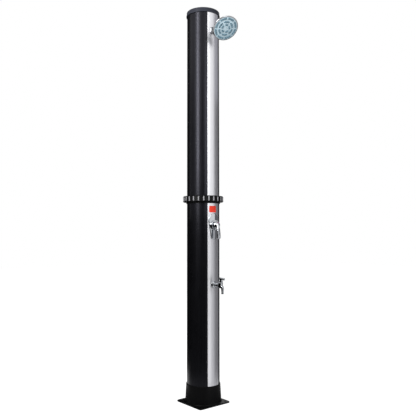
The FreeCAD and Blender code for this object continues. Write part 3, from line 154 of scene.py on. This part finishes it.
def spread(tree, factor, low, high):
    """Maps a noise to a range of roughness."""
    return add(tree, "ShaderNodeMapRange", {
        "Value": factor, "From Min": NOISE_LOW, "From Max": NOISE_HIGH,
        "To Min": low, "To Max": high}).outputs["Result"]


def tinted(tree, factor, dark, light):
    """Colour that drifts between two shades."""
    ramp = add(tree, "ShaderNodeValToRGB", {"Fac": factor})
    ends = ramp.color_ramp.elements
    ends[0].position, ends[1].position = NOISE_LOW, NOISE_HIGH
    ends[0].color, ends[1].color = tuple(dark), tuple(light)
    return ramp.outputs["Color"]


def shade(base, factor):
    """The same hue, darker or lighter."""
    return tuple(min(c * factor, 1.0) for c in base[:3]) + (1.0,)


def bumped(tree, shader, height, distance, strength):
    """Lets a noise raise the surface."""
    bump = add(tree, "ShaderNodeBump",
               {"Height": height, "Distance": distance, "Strength": strength})
    tree.links.new(bump.outputs["Normal"], shader.inputs["Normal"])


def extruded_pvc(base):
    """Black PVC pulled through a die: satin, with faint lines that run along the tube."""
    # its reflections are faintly blue
    made, tree, shader = surface("Extruded PVC", base, IOR=1.53, Specular_IOR_Level=0.25,
                                 Specular_Tint=(0.84, 0.84, 1.0, 1.0))
    # die lines about 3 mm apart, drawn long by a stretch of 60
    lines = grain(tree, 3 * MM, (1.0, 1.0, 1 / 60))
    tree.links.new(spread(tree, lines, 0.26, 0.36), shader.inputs["Roughness"])
    # handling and dust leave cloudy patches some 80 mm wide
    cloud = grain(tree, 80 * MM)
    tree.links.new(tinted(tree, cloud, shade(base, 0.85), shade(base, 1.15)),
                   shader.inputs["Base Color"])
    return made


def moulded_abs(base, name="Moulded ABS"):
    """Black ABS from a fine-eroded mould: satin with a soft pebble grain."""
    made, tree, shader = surface(name, base, IOR=1.54, Specular_IOR_Level=0.08)
    # grain of 0.8 mm, coarser than the real 0.2 mm so that it shows close up
    pebble = grain(tree, 0.8 * MM, detail=1.0)
    tree.links.new(spread(tree, pebble, 0.34, 0.46), shader.inputs["Roughness"])
    bumped(tree, shader, pebble, 0.05 * MM, 0.25)
    # sun and dust leave patches some 60 mm wide
    cloud = grain(tree, 60 * MM)
    tree.links.new(tinted(tree, cloud, shade(base, 0.9), shade(base, 1.12)),
                   shader.inputs["Base Color"])
    return made


def ribbed_abs_painted_highlight(base, rib_highlight, middle):
    """Black ABS whose grip ribs carry a painted highlight: light grey, glossier crests."""
    made, tree, shader = surface("Ribbed ABS Painted Highlight", base, IOR=1.54, Specular_IOR_Level=0.12)
    place = add(tree, "ShaderNodeTexCoord")
    parts = add(tree, "ShaderNodeSeparateXYZ", {"Vector": place.outputs["Object"]})
    flat = add(tree, "ShaderNodeCombineXYZ", {"X": parts.outputs["X"], "Y": parts.outputs["Y"]})
    away = add(tree, "ShaderNodeVectorMath", {0: flat.outputs["Vector"]}, operation="LENGTH")
    # the painted highlight lies on the crests, not in the valleys between the ribs
    crest = add(tree, "ShaderNodeMapRange", {
        "Value": away.outputs["Value"], "From Min": PAINTED_HIGHLIGHT_START, "From Max": PAINTED_HIGHLIGHT_FULL})
    rise = add(tree, "ShaderNodeMath", {0: parts.outputs["Z"], 1: middle}, operation="SUBTRACT")
    off = add(tree, "ShaderNodeMath", {0: rise.outputs[0]}, operation="ABSOLUTE")
    # the painted highlight ends between the two rims
    inside = add(tree, "ShaderNodeMapRange", {
        "Value": off.outputs[0], "From Min": PAINTED_HIGHLIGHT_END, "From Max": PAINTED_HIGHLIGHT_HEIGHT})
    both = add(tree, "ShaderNodeMath", {0: crest.outputs["Result"], 1: inside.outputs["Result"]},
               operation="MULTIPLY")
    # the painted highlight is patchy over some 6 mm
    patches = spread(tree, grain(tree, 6 * MM), 0.75, 1.0)
    highlight_mask = add(tree, "ShaderNodeMath", {0: both.outputs[0], 1: patches}, operation="MULTIPLY")
    mixed = add(tree, "ShaderNodeValToRGB", {"Fac": highlight_mask.outputs[0]})
    mixed.color_ramp.elements[0].color = tuple(base)
    mixed.color_ramp.elements[1].color = tuple(rib_highlight)
    tree.links.new(mixed.outputs["Color"], shader.inputs["Base Color"])
    # the crests under the painted highlight are glossier too
    rough = add(tree, "ShaderNodeMapRange",
                {"Value": highlight_mask.outputs[0], "To Min": 0.42, "To Max": 0.22})
    tree.links.new(rough.outputs["Result"], shader.inputs["Roughness"])
    bumped(tree, shader, grain(tree, 0.8 * MM), 0.04 * MM, 0.2)
    return made


def anodised_aluminium(base):
    """Aluminium sheet brushed lengthwise and anodised: a broad silky reflection."""
    made, tree, shader = surface("Anodised Aluminium", base, Metallic=1.0)
    # brush lines of 0.6 mm, coarser than the real 0.1 mm, stretched 250 times along the post
    brushed = grain(tree, 0.6 * MM, (1.0, 1.0, 1 / 250), detail=3.0)
    tree.links.new(spread(tree, brushed, 0.30, 0.40), shader.inputs["Roughness"])
    bumped(tree, shader, brushed, 0.02 * MM, 0.15)
    return made


def calendered_vinyl(base):
    """Red vinyl film with a gloss face."""
    made, tree, shader = surface("Calendered Vinyl", base, IOR=1.5, Specular_IOR_Level=0.25)
    # the film waves a little over 6 mm where the glue holds it unevenly
    ripple = grain(tree, 6 * MM)
    tree.links.new(spread(tree, ripple, 0.32, 0.42), shader.inputs["Roughness"])
    bumped(tree, shader, ripple, 0.05 * MM, 0.2)
    return made


def chrome_plating(base, name="Chrome Plating", low=0.05, high=0.11):
    """Chrome over a polished casting: mirror bright, with a breath of dried water."""
    made, tree, shader = surface(name, base, Metallic=1.0)
    # dried drops cloud it over some 9 mm
    film = grain(tree, 9 * MM, detail=3.0)
    tree.links.new(spread(tree, film, low, high), shader.inputs["Roughness"])
    return made


def turned_brass(base):
    """Brass from the lathe: warm, with fine tool rings."""
    made, tree, shader = surface("Turned Brass", base, Metallic=1.0)
    # rings 0.4 mm apart along Y, the axis of the fittings
    marks = grain(tree, 1.2 * MM, (0.2, 3.0, 0.2))
    tree.links.new(spread(tree, marks, 0.22, 0.36), shader.inputs["Roughness"])
    tree.links.new(tinted(tree, grain(tree, 12 * MM), shade(base, 0.8), shade(base, 1.05)),
                   shader.inputs["Base Color"])
    return made


def stainless_steel(base):
    """Ground stainless rod: bright, with a fine even grind."""
    made, tree, shader = surface("Ground Stainless Steel", base, Metallic=1.0)
    tree.links.new(spread(tree, grain(tree, 0.5 * MM), 0.2, 0.34), shader.inputs["Roughness"])
    return made


def nitrile_rubber(base):
    """Moulded nitrile seals: dead matte."""
    made, tree, shader = surface("Nitrile Rubber", base, IOR=1.52)
    pores = grain(tree, 0.7 * MM)
    tree.links.new(spread(tree, pores, 0.68, 0.82), shader.inputs["Roughness"])
    bumped(tree, shader, pores, 0.05 * MM, 0.3)
    return made


def polypropylene(base):
    """Milky polypropylene of pipes and tank fittings."""
    made, tree, shader = surface("Polypropylene", base, IOR=1.49)
    # flow lines of 4 mm, drawn out to 80 mm along the post
    drawn = grain(tree, 4 * MM, (1.0, 1.0, 0.05))
    tree.links.new(spread(tree, drawn, 0.38, 0.5), shader.inputs["Roughness"])
    tree.links.new(tinted(tree, grain(tree, 40 * MM), shade(base, 0.93), shade(base, 1.04)),
                   shader.inputs["Base Color"])
    return made


def face_abs(base):
    """Pale ABS plate with a satin moulded face."""
    made, tree, shader = surface("Pale Moulded ABS", base, IOR=1.54)
    fine = grain(tree, 1.0 * MM)
    tree.links.new(spread(tree, fine, 0.30, 0.40), shader.inputs["Roughness"])
    bumped(tree, shader, fine, 0.03 * MM, 0.2)
    return made


def silicone(base):
    """Soft silicone: matte with a slight bloom."""
    made, tree, shader = surface("Silicone", base, IOR=1.43, Sheen_Weight=0.15)
    bloom = grain(tree, 3 * MM)
    tree.links.new(spread(tree, bloom, 0.45, 0.6), shader.inputs["Roughness"])
    tree.links.new(tinted(tree, bloom, shade(base, 0.92), shade(base, 1.08)),
                   shader.inputs["Base Color"])
    return made


def enamel(name, base):
    """Small filled mark under clear lacquer."""
    made, tree, shader = surface(name, base, IOR=1.5, Coat_Weight=0.6)
    tree.links.new(spread(tree, grain(tree, 1.5 * MM), 0.25, 0.35), shader.inputs["Roughness"])
    return made


# ------------------------------------------------------------------ helpers for pieces

CAD_WELD = 0.002 * MM    # joins the loose triangles of a CAD node
CAD_CREASE = 28          # its faces stay apart over edges sharper than this many degrees
NEW_WELD = 0.001 * MM


def dress(names, finish):
    """Gives CAD nodes a finish and smooth shading with crisp edges."""
    for name in names:
        node = frame["nodes"][name]
        if not node.material_slots:
            node.data.materials.append(finish)
        for slot in node.material_slots:
            slot.material = finish
        node.data.polygons.foreach_set("use_smooth", [True] * len(node.data.polygons))
        weld = node.modifiers.new("Weld", "WELD")
        weld.merge_threshold = CAD_WELD
        split = node.modifiers.new("Crisp edges", "EDGE_SPLIT")
        split.split_angle = math.radians(CAD_CREASE)


def piece(name, bm, body, finishes, replaced=()):
    """Turns a finished bmesh into an object that rides on a CAD body."""
    bmesh.ops.remove_doubles(bm, verts=bm.verts, dist=NEW_WELD)
    bmesh.ops.recalc_face_normals(bm, faces=bm.faces)
    mesh = bpy.data.meshes.new(name)
    bm.to_mesh(mesh)
    bm.free()
    made = bpy.data.objects.new(name, mesh)
    bpy.context.scene.collection.objects.link(made)
    for finish in finishes:
        mesh.materials.append(finish)
    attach(made, body)
    if replaced:
        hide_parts(*replaced)
    return made


def crisp(made, angle=30):
    """Smooth shading that stays sharp over edges."""
    made.data.polygons.foreach_set("use_smooth", [True] * len(made.data.polygons))
    split = made.modifiers.new("Crisp edges", "EDGE_SPLIT")
    split.split_angle = math.radians(angle)


def lathe(bm, profile, steps):
    """Spins a closed profile of (radius, height) points round Z."""
    ring = [bm.verts.new((radius, 0, height)) for radius, height in profile]
    edges = [bm.edges.new(pair) for pair in zip(ring, ring[1:] + ring[:1])]
    bmesh.ops.spin(bm, geom=ring + edges, cent=(0, 0, 0), axis=(0, 0, 1), angle=math.tau,
                   steps=steps, use_merge=True, use_duplicate=False)


def joint(name):
    """The frame's joint of that name."""
    return next(entry for entry in frame["joints"] if entry["name"] == name)


def rose_matrix():
    """Places local Z along the rose's axis, from the ball's centre towards the face."""
    across = Vector(joint("rose_tilt")["axis"]).normalized()
    low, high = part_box("rose_face")
    middle = (low + high) / 2
    ball = Vector(joint("rose_swing")["pos_m"])
    out = (middle - ball).normalized()
    up = out.cross(across).normalized()
    turn = Matrix((across, up, out)).transposed().to_4x4()
    return Matrix.Translation(ball) @ turn


# ------------------------------------------------------------------ operators

class SHOWER_OT_tanks(bpy.types.Operator):
    """Finishes the two black tubes and their glued ends"""
    bl_idname = "shower_post.tanks"
    bl_label = "Tanks"

    def execute(self, context):
        colours = context.scene.shower_colours
        dress(("lower_tank", "upper_tank"), extruded_pvc(colours.tube))
        dress(("lower_tank_floor", "upper_tank_roof", "lower_tank_head", "upper_tank_base"),
              moulded_abs(colours.moulding, "Solvent Welded PVC Fittings"))
        return {"FINISHED"}


class SHOWER_OT_mouldings(bpy.types.Operator):
    """Finishes the foot, union nut, cap and drain plug"""
    bl_idname = "shower_post.mouldings"
    bl_label = "Black mouldings"

    def execute(self, context):
        colours = context.scene.shower_colours
        dress(("foot", "drain_plug"), moulded_abs(colours.moulding))
        # the cap gets a lighter, bluer black than the other mouldings
        dress(("top_cap",), moulded_abs(colours.cap, "Bluish Grey ABS"))
        low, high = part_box("union_nut")
        # the crests of the union nut's ribs get a painted highlight
        dress(("union_nut",), ribbed_abs_painted_highlight(colours.moulding, colours.rib_highlight, (low.z + high.z) / 2))
        return {"FINISHED"}


class SHOWER_OT_panels(bpy.types.Operator):
    """Finishes the silver front panels and the plain label"""
    bl_idname = "shower_post.panels"
    bl_label = "Front panels"

    def execute(self, context):
        colours = context.scene.shower_colours
        dress(("lower_front_panel", "upper_front_panel"), anodised_aluminium(colours.panel))
        dress(("label",), calendered_vinyl(colours.label))
        return {"FINISHED"}


class SHOWER_OT_pipework(bpy.types.Operator):
    """Finishes the pipes, tees, nuts and seals inside the tanks"""
    bl_idname = "shower_post.pipework"
    bl_label = "Pipework and seals"

    def execute(self, context):
        colours = context.scene.shower_colours
        dress(("hot_pipe_lower", "hot_pipe_upper", "riser_lower", "riser_upper", "cold_pipe",
               "tap_tee", "fill_tee", "mixer_cartridge", "ball_seat", "drain_back_nut"),
              polypropylene(colours.pipe))
        dress(("mixer_valve", "mixer_clamp_nut", "tap_spindle", "tap_back_nut", "arm_back_nut",
               "inlet_back_nut"), turned_brass(colours.brass))
        dress(("face_ring", "spigot_rings", "mixer_washer", "tap_washer", "arm_washer",
               "inlet_washer", "drain_washer"), nitrile_rubber(colours.seal))
        dress(("mixer_stem", "lever_screw"), stainless_steel(colours.steel))
        return {"FINISHED"}


HUB_RADIUS = 22 * MM     # ball-shaped hub of the lever
MARK_RISE = 34           # the mark looks up from the hub by this many degrees
MARK_PROUD = 0.15 * MM   # how far its domed face stands out of the hub
MARK_ROOT = 0.4 * MM     # how far its rim reaches into the hub
MARK_STEPS = 6


class SHOWER_OT_mixer(bpy.types.Operator):
    """Finishes the mixer and puts the warm and cold mark on its lever"""
    bl_idname = "shower_post.mixer"
    bl_label = "Mixer"

    def execute(self, context):
        colours = context.scene.shower_colours
        dress(("mixer_escutcheon", "mixer_shroud", "mixer_turret", "mixer_lever"),
              chrome_plating(colours.chrome))
        pivot = Vector(joint("mixer_lift")["pos_m"])
        radius = context.scene.shower_sizes.mark_radius
        bm = bmesh.new()
        radii = [radius * i / MARK_STEPS for i in range(MARK_STEPS + 1)]
        domed = [(r, math.sqrt((HUB_RADIUS + MARK_PROUD) ** 2 - r ** 2)) for r in radii]
        rooted = [(radius, math.sqrt(HUB_RADIUS ** 2 - radius ** 2) - MARK_ROOT),
                  (0, HUB_RADIUS - 2 * MARK_ROOT)]
        lathe(bm, domed + rooted, 32)
        place = Matrix.Translation(pivot) @ Matrix.Rotation(math.radians(90 - MARK_RISE), 4, "X")
        bmesh.ops.transform(bm, matrix=place, verts=bm.verts)
        mark = piece("mixer_mark", bm, "lever",
                     (enamel("Warm Enamel", colours.warm), enamel("Cold Enamel", colours.cold)))
        # warm on the side of -X, cold on that of +X
        for face in mark.data.polygons:
            face.material_index = int(face.center.x > 0)
        crisp(mark)
        return {"FINISHED"}


class SHOWER_OT_tap(bpy.types.Operator):
    """Finishes the foot tap"""
    bl_idname = "shower_post.tap"
    bl_label = "Foot tap"

    def execute(self, context):
        colours = context.scene.shower_colours
        dress(("tap_rosette", "tap_body", "tap_nozzle", "tap_bonnet", "tap_handle"),
              chrome_plating(colours.chrome, "Chrome Plated Brass", 0.06, 0.13))
        return {"FINISHED"}


DARK_PAINTED_CHROME = 0.4       # painted darker than plain chrome, for dark reflections: how bright it is beside plain chrome
# painted darker than plain chrome as well, for dark reflections on the rose's rim
DARK_PAINTED_CHROMED_ABS = 0.6


class SHOWER_OT_arm(bpy.types.Operator):
    """Finishes the shower arm and its bracket"""
    bl_idname = "shower_post.arm"
    bl_label = "Shower arm"

    def execute(self, context):
        colours = context.scene.shower_colours
        dress(("shower_arm",), chrome_plating(colours.chrome, "Chrome Plated Arm"))
        # the bracket's chrome is painted dark, in place of dark reflections
        dress(("arm_bracket",),
              chrome_plating(shade(colours.chrome, DARK_PAINTED_CHROME), "Chrome Bracket Painted Dark"))
        return {"FINISHED"}


# rings of pads on the rose: how many pads, radius, angle of the first pad, nozzles on a pad
NOZZLE_RINGS = ((5, 20.8 * MM, 23, 3), (6, 37.0 * MM, 41, 4), (8, 56.2 * MM, 34, 5))
NOZZLE_SPACING = 6.6 * MM
PAD_TOP = 41.6 * MM      # from the ball's centre
NOZZLE_SUNK = 0.2 * MM   # how far a nozzle reaches into its pad
NOZZLE_TIP = 0.7         # its radius at the tip, as a share of that at the root
NOZZLE_RIM = 0.32        # wall round its hole, as a share of its radius
NOZZLE_HOLE = 0.5        # depth of the hole, as a share of its height


def nozzle(bm, place, radius, height):
    """Tapered soft nozzle with its hole, sunk a little into the pad."""
    made = bmesh.ops.create_cone(
        bm, cap_ends=True, segments=12, radius1=radius, radius2=radius * NOZZLE_TIP,
        depth=height + NOZZLE_SUNK,
        matrix=place @ Matrix.Translation((0, 0, (height - NOZZLE_SUNK) / 2)))
    outward = place.to_3x3() @ Vector((0, 0, 1))
    caps = {face for vert in made["verts"] for face in vert.link_faces if len(face.verts) > 4}
    tip = max(caps, key=lambda face: face.calc_center_median().dot(outward))
    bmesh.ops.inset_individual(bm, faces=[tip], thickness=radius * NOZZLE_RIM,
                               depth=-height * NOZZLE_HOLE)


class SHOWER_OT_rose(bpy.types.Operator):
    """Finishes the rose and sets the nozzles into its pads"""
    bl_idname = "shower_post.rose"
    bl_label = "Rose"

    def execute(self, context):
        colours = context.scene.shower_colours
        sizes = context.scene.shower_sizes
        soft = silicone(colours.rose_pads)
        # the rose's shell and swivel nut are painted darker than chrome, in place of dark
        # reflections
        dress(("rose_shell", "swivel_nut"),
              chrome_plating(shade(colours.chrome, DARK_PAINTED_CHROMED_ABS), "Chromed ABS Painted Dark", 0.1, 0.18))
        dress(("rose_face",), face_abs(colours.rose_face))
        dress(("nozzle_pads",), soft)
        place = rose_matrix()
        bm = bmesh.new()
        for pads, radius, first, nozzles in NOZZLE_RINGS:
            for pad in range(pads):
                for i in range(nozzles):
                    along = (i - (nozzles - 1) / 2) * NOZZLE_SPACING / radius
                    turn = math.radians(first + 360 / pads * pad) + along
                    at = (radius * math.cos(turn), radius * math.sin(turn), PAD_TOP)
                    nozzle(bm, place @ Matrix.Translation(at), sizes.nozzle_radius,
                           sizes.nozzle_height)
        crisp(piece("rose_nozzles", bm, "rose", (soft,)), 40)
        return {"FINISHED"}


# the hose inlet takes the place and length of the plain one; radii unless the name says other
INLET_BORE = 6.0 * MM
INLET_STEM = 9.5 * MM            # thread inside the tank
INLET_CREST = 10.48 * MM         # crest of a half-inch pipe thread
INLET_TAIL_LENGTH = 15 * MM      # from the hexagon to the end
HEXAGON_WIDTH = 22.5 * MM        # across the flats
HEXAGON_HEIGHT = 5 * MM
HEXAGON_BEVEL = 0.6 * MM
STEP_COVER = 1 * MM              # the core changes its radius this deep inside the hexagon
OVERLAP = 0.1 * MM               # how far the hexagon and the ridge reach into the core
THREAD_NECK = 1.6 * MM           # plain stretch before the thread
THREAD_END = 1.2 * MM            # plain stretch after it
RIDGE_HALF = 0.42                # half the foot of the ridge, as a share of the pitch
CREST_HALF = 0.2                 # half its crest, as a share of half its foot
STEPS_PER_TURN = 24


def flange(bm, across_flats, bore, start, end):
    """Hexagon with a bore and bevelled rims, along Z."""
    corner = across_flats / math.sqrt(3)
    place = Matrix.Translation((0, 0, start)) @ Matrix.Rotation(math.pi / 2, 4, "Z")
    rings = [bmesh.ops.create_circle(bm, segments=6, radius=radius, matrix=place)["verts"]
             for radius in (corner, bore)]
    loops = dict.fromkeys(edge for ring in rings for vert in ring for edge in vert.link_edges)
    washer = bmesh.ops.bridge_loops(bm, edges=list(loops))["faces"]
    raised = [item for item in bmesh.ops.extrude_face_region(bm, geom=washer)["geom"]
              if isinstance(item, bmesh.types.BMVert)]
    bmesh.ops.translate(bm, vec=(0, 0, end - start), verts=raised)
    # the outer rims of both hexagons: level edges between two corners
    rims = dict.fromkeys(
        edge for vert in rings[0] + raised for edge in vert.link_edges
        if all(tip.co.xy.length > corner * 0.99 for tip in edge.verts)
        and abs(edge.verts[0].co.z - edge.verts[1].co.z) < NEW_WELD)
    bmesh.ops.bevel(bm, geom=list(rims), offset=HEXAGON_BEVEL, offset_type="OFFSET",
                    affect="EDGES", segments=2, profile=0.5, material=-1)


def helix(bm, root, crest, start, end, pitch):
    """Thread ridge with a flattened V section, wound up along Z."""
    half = pitch * RIDGE_HALF
    flat = half * CREST_HALF
    outline = ((root - OVERLAP, -half), (root, -half), (crest, -flat), (crest, flat),
               (root, half), (root - OVERLAP, half))
    ring = [bm.verts.new((radius, 0, start + height)) for radius, height in outline]
    climb = end - start - half
    turns = climb / pitch
    steps = int(STEPS_PER_TURN * turns)
    bmesh.ops.spin(bm, geom=[bm.faces.new(ring)], cent=(0, 0, 0), axis=(0, 0, 1),
                   dvec=(0, 0, climb / steps), angle=math.tau * turns, steps=steps,
                   use_merge=False, use_duplicate=False)


class SHOWER_OT_inlet(bpy.types.Operator):
    """Makes the hose inlet with its cut thread and finishes it"""
    bl_idname = "shower_post.inlet"
    bl_label = "Hose inlet"

    def execute(self, context):
        sizes = context.scene.shower_sizes
        low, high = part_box("inlet_connector")
        root = INLET_CREST - sizes.thread_depth
        face = high.y - INLET_TAIL_LENGTH
        flat = face - HEXAGON_HEIGHT
        step = flat + STEP_COVER
        bm = bmesh.new()
        lathe(bm, ((INLET_BORE, low.y), (INLET_STEM, low.y), (INLET_STEM, step), (root, step),
                   (root, high.y), (INLET_BORE, high.y)), 48)
        flange(bm, HEXAGON_WIDTH, root - OVERLAP, flat, face)
        helix(bm, root, INLET_CREST, face + THREAD_NECK, high.y - THREAD_END, sizes.thread_pitch)
        # laid down along Y, at the height of the plain one
        level = Matrix.Translation((0, 0, (low.z + high.z) / 2))
        laid = level @ Matrix.Rotation(-math.pi / 2, 4, "X")
        bmesh.ops.transform(bm, matrix=laid, verts=bm.verts)
        crisp(piece("inlet_hose_thread", bm, "post",
                    (turned_brass(context.scene.shower_colours.brass),), ("inlet_connector",)))
        return {"FINISHED"}


# ------------------------------------------------------------------ stage

CAMERA_DISTANCE = 2.983
CAMERA_HEIGHT = 0.91694
CAMERA_AZIMUTH = math.radians(-39.17)
CAMERA_YAW = 0.009
CAMERA_PITCH = 0.049
CAMERA_ROLL = -0.001
FOCAL_PIXELS = 535.391
IMAGE_PIXELS = 416

AMBIENT = 0.5            # strength of the white world as a light
FLOOR_SIZE = 24          # metres
FLOOR_LIFT = 0.78        # glow of the floor where it is seen, so that it comes out near white

# soft lights: name, azimuth, height, distance, width, tallness, watts, height they aim at;
# azimuth 0 is in front of the post and positive towards +X, lengths are in metres
SOFTBOXES = (
    ("Key", -77, 2.55, 2.8, 0.6, 2.2, 66, 2.0),
    ("Front fill", -15, 2.3, 3.2, 1.2, 1.6, 22, 1.8),
    ("Top", 180, 3.6, 1.6, 2.4, 2.4, 18, 1.1),
)

# cards that only reflections show: name, tone, first and last azimuth, distance, foot, top
FLAGS = (
    ("Left_Flag", "#848488", -141, -90, 3.3, 0.8, 2.7),
    ("Front_Flag", "#848488", -66, -26, 3.3, 0.8, 2.7),
    ("Low_Grey_Flag", "#c8c8ca", 8, 36, 0.45, 0.0, 1.0),
    ("Grey_Flag", "#767678", 36, 112, 0.45, 0.0, 1.75),
    ("Upper_Grey_Flag", "#9c9ca2", 36, 112, 0.45, 1.75, 3.2),
    ("Rear_Flag", "#060606", 141, 219, 0.7, 0.0, 3.2),
    ("Low_Flag", "#0a0a0a", -141, -12, 0.5, 0.0, 1.02),
    ("Camera_Flag", "#0a0a0a", -50, -30, 3.2, 0.0, 2.2),
)
# ring on the floor round the foot: tone, inner and outer radius, height over the floor
FLOOR_FLAG = ("#5a5a5c", 0.12, 0.36, 1 * MM)


def camera():
    """The photo's camera, as fitted to the post's outline."""
    data = bpy.data.cameras.new("Camera")
    data.sensor_fit = "HORIZONTAL"
    data.sensor_width = 36.0
    data.lens = FOCAL_PIXELS / IMAGE_PIXELS * data.sensor_width
    data.clip_end = 60
    made = bpy.data.objects.new("Camera", data)
    bpy.context.scene.collection.objects.link(made)
    turn = Matrix.Rotation(CAMERA_AZIMUTH - CAMERA_YAW, 4, "Z")
    tilt = Matrix.Rotation(math.pi / 2 + CAMERA_PITCH, 4, "X")
    roll = Matrix.Rotation(CAMERA_ROLL, 4, "Z")
    place = Vector((math.sin(CAMERA_AZIMUTH), -math.cos(CAMERA_AZIMUTH), 0)) * CAMERA_DISTANCE
    place += Vector((0, 0, CAMERA_HEIGHT))
    made.matrix_world = Matrix.Translation(place) @ turn @ tilt @ roll
    bpy.context.scene.camera = made


def seen_directly(tree):
    """1 for camera, glossy and transmitted rays, so that metal shows the same background."""
    path = add(tree, "ShaderNodeLightPath")
    seen = path.outputs["Is Camera Ray"]
    for kind in ("Is Glossy Ray", "Is Transmission Ray"):
        seen = add(tree, "ShaderNodeMath", {0: seen, 1: path.outputs[kind]},
                   operation="MAXIMUM").outputs[0]
    return seen


def daylight():
    """White room: plain white where it is seen, softer where it lights the object."""
    world = bpy.data.worlds.new("World")
    bpy.context.scene.world = world
    world.use_nodes = True
    tree = world.node_tree
    shown = add(tree, "ShaderNodeBackground", {"Color": (1, 1, 1, 1), "Strength": 1.0})
    light = add(tree, "ShaderNodeBackground", {"Color": (1, 1, 1, 1), "Strength": AMBIENT})
    mix = add(tree, "ShaderNodeMixShader",
              {0: seen_directly(tree), 1: light.outputs[0], 2: shown.outputs[0]})
    tree.links.new(mix.outputs[0], tree.nodes["World Output"].inputs["Surface"])


def staged(name, bm, finish_name):
    """Object of the studio from a finished bmesh, and the empty node tree of its material."""
    mesh = bpy.data.meshes.new(name)
    bm.to_mesh(mesh)
    bm.free()
    made = bpy.data.objects.new(name, mesh)
    bpy.context.scene.collection.objects.link(made)
    finish = bpy.data.materials.new(finish_name)
    finish.use_nodes = True
    finish.node_tree.nodes.remove(finish.node_tree.nodes["Principled BSDF"])
    mesh.materials.append(finish)
    return made, finish.node_tree


def floor():
    """Pale floor that keeps the object's shadow."""
    bm = bmesh.new()
    bmesh.ops.create_grid(bm, x_segments=1, y_segments=1, size=FLOOR_SIZE / 2)
    made, tree = staged("Floor", bm, "Matte White Floor")
    matte = add(tree, "ShaderNodeBsdfDiffuse", {"Color": (0.5, 0.5, 0.5, 1)})
    lift = add(tree, "ShaderNodeMath", {0: seen_directly(tree), 1: FLOOR_LIFT},
               operation="MULTIPLY")
    glow = add(tree, "ShaderNodeEmission", {"Color": (1, 1, 1, 1), "Strength": lift.outputs[0]})
    both = add(tree, "ShaderNodeAddShader", {0: matte.outputs[0], 1: glow.outputs[0]})
    tree.links.new(both.outputs[0], tree.nodes["Material Output"].inputs["Surface"])


def softbox(name, azimuth, height, distance, width, tall, power, target):
    """Area light that looks at the post's axis."""
    data = bpy.data.lights.new(name, "AREA")
    data.shape = "RECTANGLE"
    data.size = width
    data.size_y = tall
    data.energy = power
    made = bpy.data.objects.new(name, data)
    bpy.context.scene.collection.objects.link(made)
    turn = math.radians(azimuth)
    place = Vector((math.sin(turn) * distance, -math.cos(turn) * distance, height))
    aim = (Vector((0, 0, target)) - place).to_track_quat("-Z", "Y")
    made.matrix_world = Matrix.Translation(place) @ aim.to_matrix().to_4x4()
    made.visible_camera = False


def reflected_only(name, tone, start, end, line):
    """Card of one flat tone, swept from a line of two (distance, height) points round the post."""
    bm = bmesh.new()
    turn = Matrix.Rotation(math.radians(start), 4, "Z")
    ends = [bm.verts.new(turn @ Vector((0, -distance, height))) for distance, height in line]
    bmesh.ops.spin(bm, geom=ends + [bm.edges.new(ends)], cent=(0, 0, 0), axis=(0, 0, 1),
                   angle=math.radians(end - start), steps=24, use_merge=end - start == 360,
                   use_duplicate=False)
    made, tree = staged(name, bm, name)
    glow = add(tree, "ShaderNodeEmission", {"Color": linear(tone), "Strength": 1.0})
    tree.links.new(glow.outputs[0], tree.nodes["Material Output"].inputs["Surface"])
    made.visible_camera = False
    made.visible_diffuse = False
    made.visible_shadow = False


class SHOWER_OT_stage(bpy.types.Operator):
    """Adds the floor, the soft lights, the white background and the camera"""
    bl_idname = "shower_post.stage"
    bl_label = "Stage"

    def execute(self, context):
        scene = context.scene
        scene.view_settings.view_transform = "Standard"
        daylight()
        floor()
        for light in SOFTBOXES:
            softbox(*light)
        tone, inner, outer, height = FLOOR_FLAG
        reflected_only("Floor_Flag", tone, 0, 360, ((inner, height), (outer, height)))
        for name, tone, start, end, distance, low, high in FLAGS:
            reflected_only(name, tone, start, end, ((distance, low), (distance, high)))
        camera()
        return {"FINISHED"}


# ------------------------------------------------------------------ panel and registration

STEPS = (SHOWER_OT_tanks, SHOWER_OT_mouldings, SHOWER_OT_panels, SHOWER_OT_pipework,
         SHOWER_OT_mixer, SHOWER_OT_tap, SHOWER_OT_arm, SHOWER_OT_rose, SHOWER_OT_inlet,
         SHOWER_OT_stage)


class SHOWER_PT_sidebar(bpy.types.Panel):
    """Lists the steps and the settings of the shower post"""
    bl_idname = "SHOWER_PT_sidebar"
    bl_label = "Shower Post"
    bl_space_type = "VIEW_3D"
    bl_region_type = "UI"
    bl_category = "Shower Post"

    def draw(self, context):
        column = self.layout.column()
        for group in (context.scene.shower_sizes, context.scene.shower_colours):
            for name in group.__annotations__:
                column.prop(group, name)
        for step in STEPS:
            column.operator(step.bl_idname)


CLASSES = (ShowerSizes, ShowerColours) + STEPS + (SHOWER_PT_sidebar,)


def register():
    for kind in CLASSES:
        bpy.utils.register_class(kind)
    bpy.types.Scene.shower_sizes = bpy.props.PointerProperty(type=ShowerSizes)
    bpy.types.Scene.shower_colours = bpy.props.PointerProperty(type=ShowerColours)


def unregister():
    del bpy.types.Scene.shower_colours
    del bpy.types.Scene.shower_sizes
    for kind in reversed(CLASSES):
        bpy.utils.unregister_class(kind)


def main():
    register()
    for step in STEPS:
        group, name = step.bl_idname.split(".")
        getattr(getattr(bpy.ops, group), name)()


if __name__ == "__main__":
    main()
